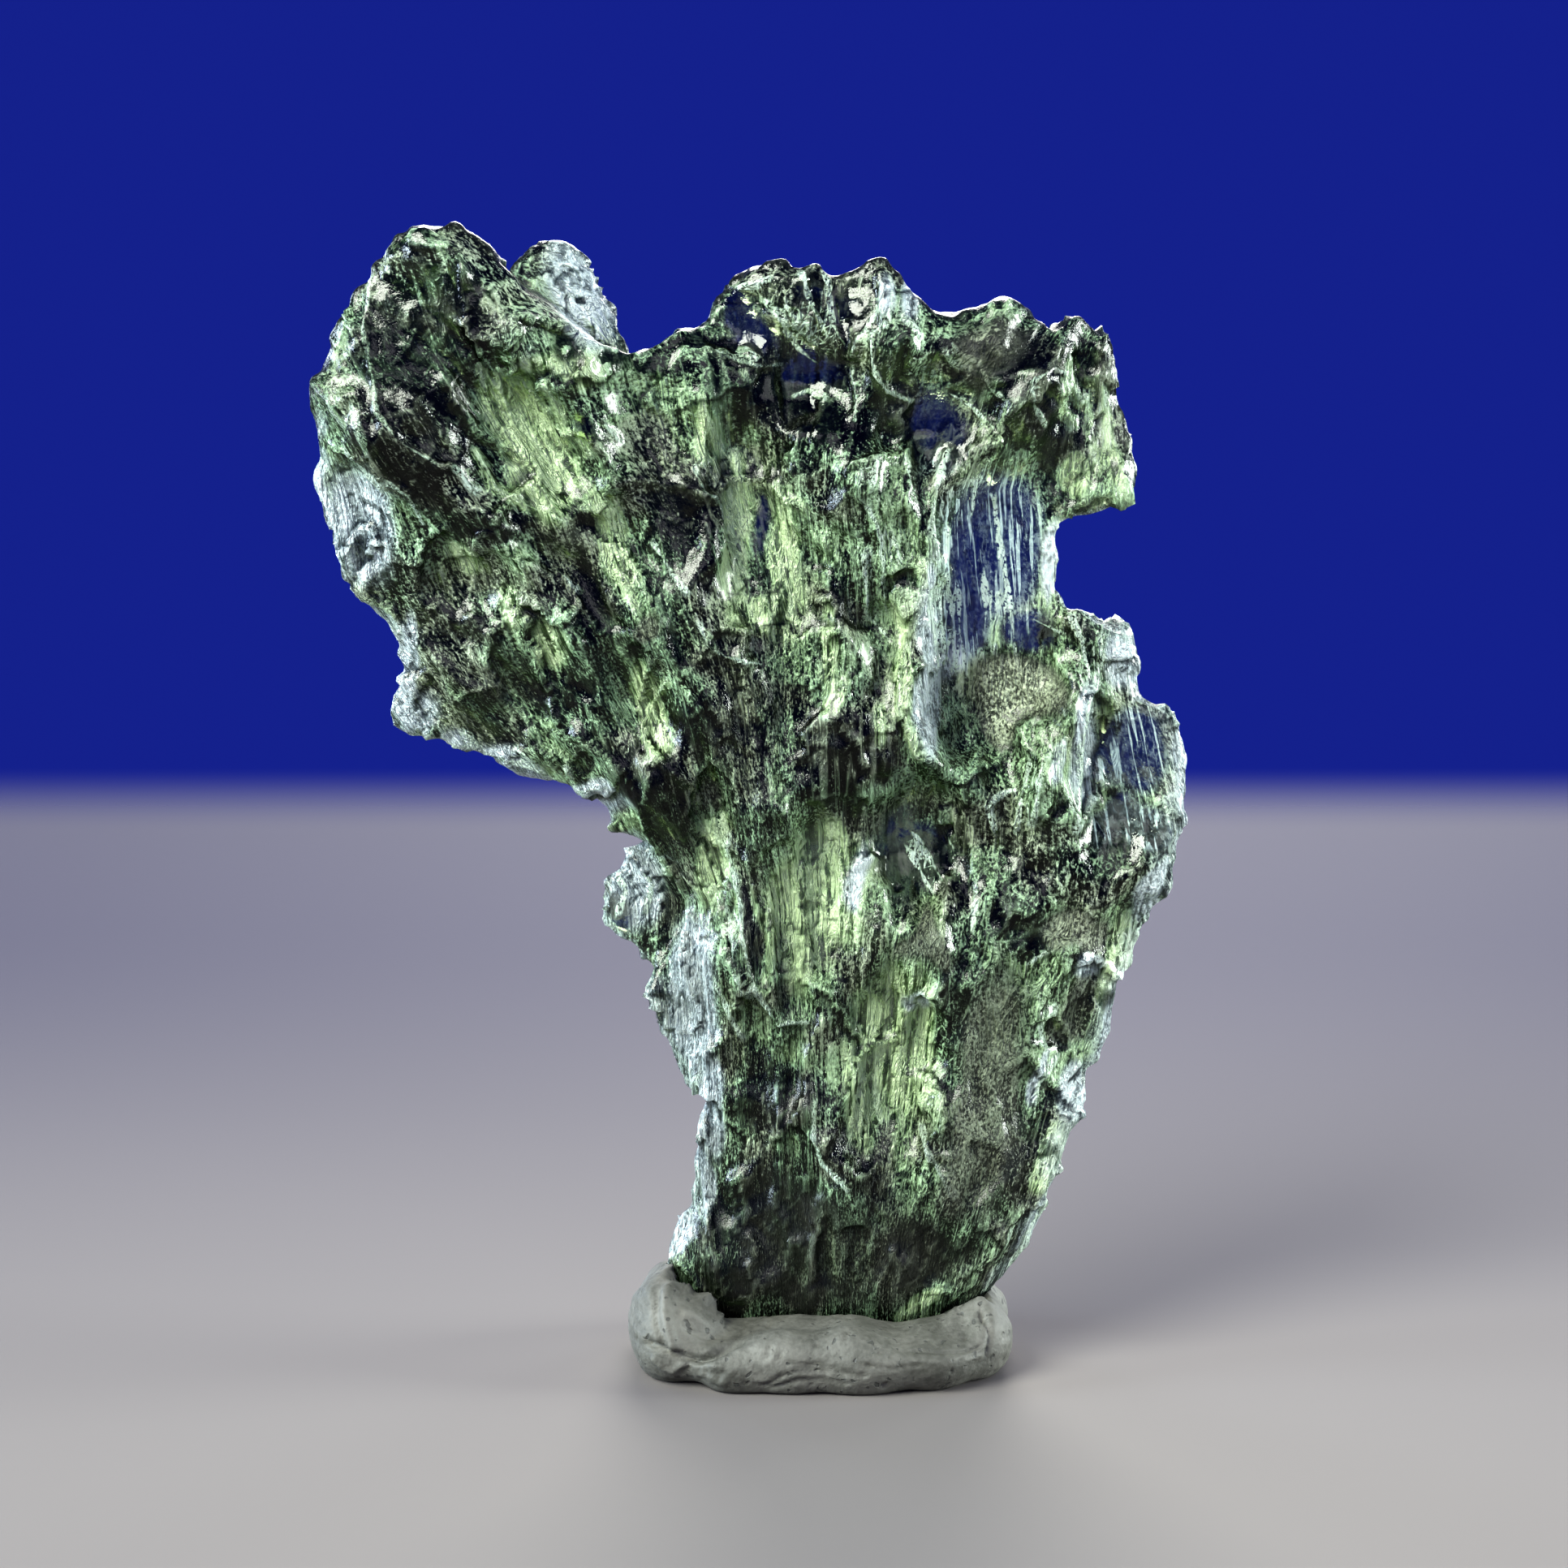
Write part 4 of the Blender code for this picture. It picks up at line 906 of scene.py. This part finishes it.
putty = {
    "dark": (0.082, 0.081, 0.070, 1),
    "pale": (0.145, 0.142, 0.126, 1),
    "grit": (0.06, 0.06, 0.055, 1),
    "cloudScale": 600,        # patterns to a metre
    "fineScale": 5200,
    "gritScale": 3300,
    "fineHeight": 0.03,       # mm
    "gritDepth": 0.02,
}


def puttyMaterial():
    material, shader, output, make = newMaterial("kneaded_putty")
    place = make.node("ShaderNodeTexCoord", output="Object")
    clouds = noise(place, putty["cloudScale"], 4.0)
    fine = noise(place, putty["fineScale"], 2.0)
    mottled = (clouds * 0.7 + fine * 0.3 - 0.4).maths("MULTIPLY", 5, clamp=True)
    gritty = between(noise(place, putty["gritScale"], 1.0), 0.66, 0.72)
    colour = blend(gritty * 0.8, blend(mottled, putty["dark"], putty["pale"]), putty["grit"])
    colour.into(shader, "Base Color")
    (fine * 0.25 + 0.5).into(shader, "Roughness")
    bumped(fine * putty["fineHeight"] - gritty * putty["gritDepth"]).into(shader, "Normal")
    return material


white, warm, cool = (1, 1, 1), (1, 0.98, 0.88), (0.74, 0.88, 1)
mint, green = (0.92, 1, 0.93), (0.95, 1, 0.88)

studio = {
    "floorHalf": 0.13,             # m, as all lengths here but the lens
    "floorFade": (0.095, 0.118),   # where the table top blurs away
    "floorTurns": (-0.02, 0.07),   # from here to there the near colour turns into the far one, a painted shade, darker and bluer towards the back
    "floorRough": 0.7,
    "floorSheen": 0.2,
    "backdrop": (0.016, 0.028, 0.24, 1),
    "lampsAim": (0, 0, 0.02),
    "lamps": [                     # name, place, size, radiance, colour
        ("lamp_above_back", (0.03, 0.36, 0.20), 0.24, 7, warm),
        ("lamp_back_right", (0.26, 0.26, 0.07), 0.12, 11, mint),
        ("lamp_back_left", (-0.26, 0.26, 0.07), 0.12, 9, cool),
        ("lamp_right", (0.40, 0.00, 0.08), 0.16, 36, mint),
        ("lamp_left", (-0.40, -0.04, 0.08), 0.16, 24, cool),
        ("lamp_key", (-0.38, -0.34, 0.42), 0.42, 16.5, green),
        ("lamp_front", (0.1, -0.5, 0.3), 0.4, 1.5, white),
    ],
    "floorNear": (0.196, 0.180, 0.173, 1),
    "floorFarShaded": (0.079, 0.074, 0.104, 1),
    "eyeHeight": math.radians(10),
    "eyeDistance": 0.121,
    "lens": 85,                    # mm
    "lookAt": (0.93 * mm, 0, 19.6 * mm),
}


def makeFloor():
    deselectAll()
    bpy.ops.mesh.primitive_plane_add(size=2 * studio["floorHalf"], location=(0, 0, 0))
    floor = bpy.context.object
    floor.name = "studio_floor"
    material, shader, output, make = newMaterial("pale_table")
    shader.inputs["Roughness"].default_value = studio["floorRough"]
    shader.inputs["Specular IOR Level"].default_value = studio["floorSheen"]
    place = make.node("ShaderNodeTexCoord", output="Object")
    x, y = axisOf(place, "X"), axisOf(place, "Y")
    # painted shade: the floor turns darker and bluer towards the back
    turned = between(y, *studio["floorTurns"], kind="SMOOTHSTEP")
    blend(turned, studio["floorNear"], studio["floorFarShaded"]).into(shader, "Base Color")
    out = x.maths("ABSOLUTE").maths("MAXIMUM", y.maths("ABSOLUTE"))
    gone = between(out, *studio["floorFade"], kind="SMOOTHSTEP")
    clear = make.node("ShaderNodeBsdfTransparent")
    blendShaders(gone, Socket(make.tree, shader.outputs[0]), clear).into(output, "Surface")
    floor.data.materials.append(material)


def areaLight(name, place, size, radiance, colour):
    lamp = bpy.data.lights.new(name, "AREA")
    lamp.shape = "DISK"
    lamp.size = size
    lamp.energy = radiance * math.pi * math.pi * size * size / 4
    lamp.color = colour
    thing = bpy.data.objects.new(name, lamp)
    bpy.context.scene.collection.objects.link(thing)
    thing.location = place
    thing.rotation_euler = (Vector(place) - Vector(studio["lampsAim"])).to_track_quat("Z", "Y").to_euler()
    thing.visible_camera = False


def makeStudio():
    makeFloor()
    for lamp in studio["lamps"]:
        areaLight(*lamp)
    world = bpy.data.worlds.new("studio")
    bpy.context.scene.world = world
    world.use_nodes = True
    world.node_tree.nodes["Background"].inputs["Color"].default_value = studio["backdrop"]
    world.node_tree.nodes["Background"].inputs["Strength"].default_value = 1
    camera = bpy.data.cameras.new("camera")
    camera.lens = studio["lens"]
    camera.clip_start = 0.001
    camera.clip_end = 10
    eye = bpy.data.objects.new("camera", camera)
    bpy.context.scene.collection.objects.link(eye)
    aim = Vector(studio["lookAt"])
    tilt, distance = studio["eyeHeight"], studio["eyeDistance"]
    eye.location = aim + Vector((0, -math.cos(tilt), math.sin(tilt))) * distance
    eye.rotation_euler = (eye.location - aim).to_track_quat("Z", "Y").to_euler()
    bpy.context.scene.camera = eye
    bpy.context.scene.view_settings.view_transform = "Standard"
    bpy.context.scene.view_settings.look = "High Contrast"
    print("studio: floor,", len(studio["lamps"]), "lamps and camera")


glassLeaf = makeLeaf()
glassLeaf.data.materials.append(glassMaterial())
puttyFoot = makeFoot(glassLeaf)
puttyFoot.data.materials.append(puttyMaterial())
makeStudio()
